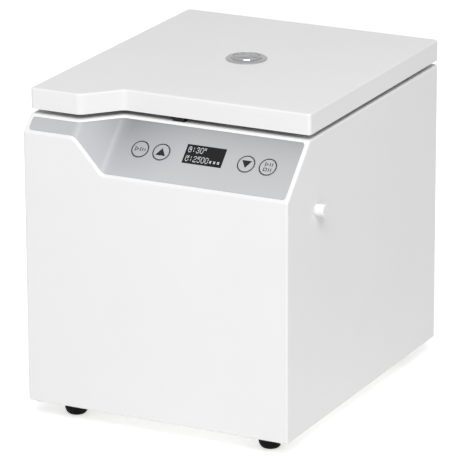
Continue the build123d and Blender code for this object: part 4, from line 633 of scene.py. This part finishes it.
# Screws
UP_WAY = Vector((0.0, 0.0, 1.0))
DOWN_WAY = Vector((0.0, 0.0, -1.0))
BACK_WAY = Vector((0.0, 1.0, 0.0))
INTO_SLOPE = Vector((0.0, 1.0, -1.0)).normalized()
LEANS_WITHIN = 0.6 * MM
DECK_SCREWS_ABOVE = 0.2
HEAD_SIDES = 32
HEAD_ROUNDING = 0.44
HEAD_STEPS = 4
RECESS_LONG = 1.15
RECESS_WIDE = 0.28
SHANK_SIDES = 16
SHANK_POINT = 0.4
SCREW_EDGES = 60.0


def solids_of(node_name):
    """The corner points of each separate solid of a node, found on a merged copy."""
    copy = nodes[node_name].copy()
    copy.data = nodes[node_name].data.copy()
    bpy.context.scene.collection.objects.link(copy)
    copy.hide_set(False)
    pick(copy)
    edit_all()
    bpy.ops.mesh.remove_doubles(threshold=MERGE)
    bpy.ops.mesh.separate(type="LOOSE")
    bpy.ops.object.mode_set(mode="OBJECT")
    solids = []
    for solid in list(bpy.context.selected_objects):
        solids.append([vertex.co.copy() for vertex in solid.data.vertices])
        bpy.data.objects.remove(solid)
    return solids


def screw_way(node_name, corners):
    """The direction from a screw's shank to its head."""
    deep = max(c.y for c in corners) - min(c.y for c in corners)
    tall = max(c.z for c in corners) - min(c.z for c in corners)
    if node_name in ("base_screws", "foot_screws", "holder_screws"):
        return DOWN_WAY
    if node_name == "motor_screws":
        return UP_WAY
    if abs(deep - tall) < LEANS_WITHIN:
        return INTO_SLOPE
    if deep > tall:
        return BACK_WAY
    if node_name == "lid_screws" or corners[0].z > DECK_SCREWS_ABOVE:
        return DOWN_WAY
    return UP_WAY


def model_head(name, head_r, head_h):
    """A pan head with a cross recess, standing on its seat at the origin."""
    deselect()
    bpy.ops.mesh.primitive_cylinder_add(vertices=HEAD_SIDES, radius=head_r, depth=head_h,
                                        location=(0, 0, head_h / 2))
    head = settle(bpy.context.active_object, name)
    round_edges(head, head_h * HEAD_ROUNDING, HEAD_STEPS, SCREW_EDGES)
    for turned in (0.0, pi / 2):
        deselect()
        bpy.ops.mesh.primitive_cube_add(size=1.0, location=(0, 0, head_h), rotation=(0, 0, turned))
        arm = bpy.context.active_object
        arm.scale = (head_r * RECESS_LONG, head_r * RECESS_WIDE, head_h)
        settle(arm, "arm")
        cut = head.modifiers.new("recess", "BOOLEAN")
        cut.operation = "DIFFERENCE"
        cut.object = arm
        apply_all(head)
        bpy.data.objects.remove(arm)
    return head


def model_shank(name, radius, length):
    """A screw's shank below the origin, with its ends bevelled."""
    deselect()
    bpy.ops.mesh.primitive_cylinder_add(vertices=SHANK_SIDES, radius=radius, depth=length,
                                        location=(0, 0, -length / 2))
    shank = settle(bpy.context.active_object, name)
    round_edges(shank, radius * SHANK_POINT, 1, SCREW_EDGES)
    return shank


# Each size: the head's radius, the head's height and the shank's radius
SMALL_SCREW = (2.75 * MM, 1.8 * MM, 1.5 * MM)
LARGE_SCREW = (4.0 * MM, 2.4 * MM, 2.0 * MM)
SCREW_KIND = {
    "base_screws": (LARGE_SCREW, "base"), "foot_screws": (LARGE_SCREW, "base"),
    "motor_screws": (LARGE_SCREW, "base"), "body_screws": (SMALL_SCREW, "base"),
    "lid_screws": (SMALL_SCREW, "lid"), "holder_screws": (SMALL_SCREW, "rotor"),
}
screw_heads = {kind: model_head("screw_head", *kind[:2]) for kind in (SMALL_SCREW, LARGE_SCREW)}
for screw_node, (kind, screw_body) in SCREW_KIND.items():
    head_r, head_h, shank_r = kind
    screws = []
    for corners in solids_of(screw_node):
        way = screw_way(screw_node, corners)
        middle = sum(corners, Vector()) / len(corners)
        reach = [corner.dot(way) for corner in corners]
        seat = middle + way * (max(reach) - head_h - middle.dot(way))
        head = screw_heads[kind].copy()
        head.data = screw_heads[kind].data.copy()
        bpy.context.scene.collection.objects.link(head)
        shank = model_shank("shank", shank_r, max(reach) - min(reach) - head_h)
        screw = join([head, shank], "screw")
        screw.rotation_euler = way.to_track_quat("Z", "Y").to_euler()
        screw.location = seat
        screws.append(settle(screw, "screw"))
    screws = join(screws, screw_node + "_modelled")
    smooth(screws, angle=40.0)
    finish_piece(screws, zinc_steel, screw_body, "zinc_steel", screw_node)
for spare in screw_heads.values():
    bpy.data.objects.remove(spare)

# Switch marks
rocker_low, rocker_high = [Vector(corner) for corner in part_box("power_rocker")]
ROCKER_AXIS_Y = 0.15485
ROCKER_AXIS = Vector(((rocker_low.x + rocker_high.x) / 2, ROCKER_AXIS_Y,
                      (rocker_low.z + rocker_high.z) / 2))
ROCKER_REST = radians(10.0)
rocker_out = Vector((0.0, cos(ROCKER_REST), -sin(ROCKER_REST)))
rocker_up = Vector((0.0, sin(ROCKER_REST), cos(ROCKER_REST)))
MARK_OUT = 5.55 * MM
MARK_UP = 5.6 * MM
OFF_RING = (2.3 * MM, 1.7 * MM)
OFF_SIDES = 48
OFF_LEAN = (radians(-90.0), 0.0, 0.0)
ON_BAR = (0.7 * MM, 4.6 * MM)
ON_LEAN = (radians(-110.0), 0.0, 0.0)
low_face = ROCKER_AXIS + rocker_out * MARK_OUT - rocker_up * MARK_UP
high_face = ROCKER_AXIS + rocker_out * MARK_OUT + rocker_up * MARK_UP
switch_marks = [
    flat_ring("off", low_face, *OFF_RING, OFF_SIDES, 0.0, OFF_LEAN),
    flat_bar("on", high_face, *ON_BAR, ON_LEAN),
]
finish_piece(join(switch_marks, "switch_marks"), white_ink, "rocker", "white_shell")

# Latch leaf: a copy of the node, cut across its height into bands
LEAF_CUTS = 14
leaf_low, leaf_high = [Vector(corner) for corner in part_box("latch_leaf")]
leaf = nodes["latch_leaf"].copy()
leaf.data = nodes["latch_leaf"].data.copy()
leaf.parent = None
leaf.matrix_world = Matrix.Identity(4)
bpy.context.scene.collection.objects.link(leaf)
settle(leaf, "bending_leaf")
edit_all()
bpy.ops.mesh.remove_doubles(threshold=MERGE)
for cut in range(1, LEAF_CUTS):
    height = leaf_low.z + (leaf_high.z - leaf_low.z) * cut / LEAF_CUTS
    bpy.ops.mesh.select_all(action="SELECT")
    bpy.ops.mesh.bisect(plane_co=(0, 0, height), plane_no=(0, 0, 1))
bpy.ops.object.mode_set(mode="OBJECT")
smooth(leaf, angle=30.0)
leaf.data.materials.clear()
leaf.data.materials.append(brushed_steel)
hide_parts("latch_leaf")
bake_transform(leaf)

# Return spring
SPRING_TURNS = 7
STEPS_EACH_TURN = 28
WIRE_SIDES = 12
WIRE_R = 0.6 * MM
spring_low, spring_high = [Vector(corner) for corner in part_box("release_spring")]
spring_middle = (spring_low + spring_high) / 2
spring_length = spring_high.x - spring_low.x
coil_r = (spring_high.z - spring_low.z) / 2 - WIRE_R
deselect()
bpy.ops.mesh.primitive_circle_add(vertices=WIRE_SIDES, radius=WIRE_R,
                                  location=(spring_low.x + WIRE_R, coil_r, 0))
spring = settle(bpy.context.active_object, "return_spring")
winding = spring.modifiers.new("winding", "SCREW")
winding.axis = "X"
winding.iterations = SPRING_TURNS
winding.steps = STEPS_EACH_TURN
winding.render_steps = STEPS_EACH_TURN
winding.screw_offset = (spring_length - 2 * WIRE_R) / SPRING_TURNS
apply_all(spring)
bpy.ops.object.mode_set(mode="EDIT")
bpy.context.tool_settings.mesh_select_mode = (True, False, False)
bpy.ops.mesh.select_all(action="SELECT")
bpy.ops.mesh.remove_doubles(threshold=MERGE)
bpy.ops.mesh.select_all(action="DESELECT")
bpy.ops.mesh.select_non_manifold()
bpy.ops.mesh.fill()
bpy.ops.mesh.select_all(action="SELECT")
bpy.ops.mesh.normals_make_consistent(inside=False)
bpy.ops.object.mode_set(mode="OBJECT")
spring.location = (0.0, spring_middle.y, spring_middle.z)
settle(spring, "return_spring")
smooth(spring, angle=50.0)
finish_piece(spring, spring_wire, "base", "steel", "release_spring")
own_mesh(spring)

# Floor and light
FLOOR_SIZE = 24.0
deselect()
bpy.ops.mesh.primitive_plane_add(size=FLOOR_SIZE, location=CENTRE)
floor = bpy.context.active_object
floor.name = "floor"


def camera_like(tree):
    """1 for rays that see the backdrop directly, in a mirror or through glass."""
    path = tree.nodes.new("ShaderNodeLightPath")
    seen = path.outputs["Is Camera Ray"]
    for kind in ("Is Glossy Ray", "Is Transmission Ray"):
        either = tree.nodes.new("ShaderNodeMath")
        either.operation = "MAXIMUM"
        tree.links.new(seen, either.inputs[0])
        tree.links.new(path.outputs[kind], either.inputs[1])
        seen = either.outputs["Value"]
    return seen


FLOOR_GLOW = 0.58
FLOOR_TONE = 0.88
floor_material = bpy.data.materials.new("pale_floor")
floor_material.use_nodes = True
tree = floor_material.node_tree
tree.nodes.clear()
output = tree.nodes.new("ShaderNodeOutputMaterial")
diffuse = tree.nodes.new("ShaderNodeBsdfDiffuse")
diffuse.inputs["Color"].default_value = (FLOOR_TONE, FLOOR_TONE, FLOOR_TONE, 1.0)
glow = tree.nodes.new("ShaderNodeEmission")
glow.inputs["Strength"].default_value = FLOOR_GLOW
added = tree.nodes.new("ShaderNodeAddShader")
mixed = tree.nodes.new("ShaderNodeMixShader")
tree.links.new(camera_like(tree), mixed.inputs["Fac"])
tree.links.new(glow.outputs[0], added.inputs[0])
tree.links.new(diffuse.outputs[0], added.inputs[1])
tree.links.new(diffuse.outputs[0], mixed.inputs[1])
tree.links.new(added.outputs[0], mixed.inputs[2])
tree.links.new(mixed.outputs[0], output.inputs["Surface"])
floor.data.materials.append(floor_material)

WORLD_LIGHT = 0.44
WORLD_SHOWN = 1.0
world = bpy.data.worlds.new("studio")
world.use_nodes = True
tree = world.node_tree
tree.nodes.clear()
output = tree.nodes.new("ShaderNodeOutputWorld")
lighting = tree.nodes.new("ShaderNodeBackground")
lighting.inputs["Strength"].default_value = WORLD_LIGHT
shown = tree.nodes.new("ShaderNodeBackground")
shown.inputs["Strength"].default_value = WORLD_SHOWN
mixed = tree.nodes.new("ShaderNodeMixShader")
tree.links.new(camera_like(tree), mixed.inputs["Fac"])
tree.links.new(lighting.outputs[0], mixed.inputs[1])
tree.links.new(shown.outputs[0], mixed.inputs[2])
tree.links.new(mixed.outputs[0], output.inputs["Surface"])
bpy.context.scene.world = world

BOX_AT = Vector((1.09, -2.05, 2.64))
BOX_AIM = Vector((0.0, 0.0, 0.15))
BOX_WIDTH = 2.2
BOX_HEIGHT = 1.8
BOX_POWER = 85.0
lamp = bpy.data.lights.new("front_box", "AREA")
lamp.shape = "RECTANGLE"
lamp.size = BOX_WIDTH
lamp.size_y = BOX_HEIGHT
lamp.energy = BOX_POWER
softbox = bpy.data.objects.new("front_box", lamp)
softbox.location = BOX_AT
softbox.rotation_euler = (BOX_AIM - BOX_AT).to_track_quat("-Z", "Y").to_euler()
bpy.context.scene.collection.objects.link(softbox)
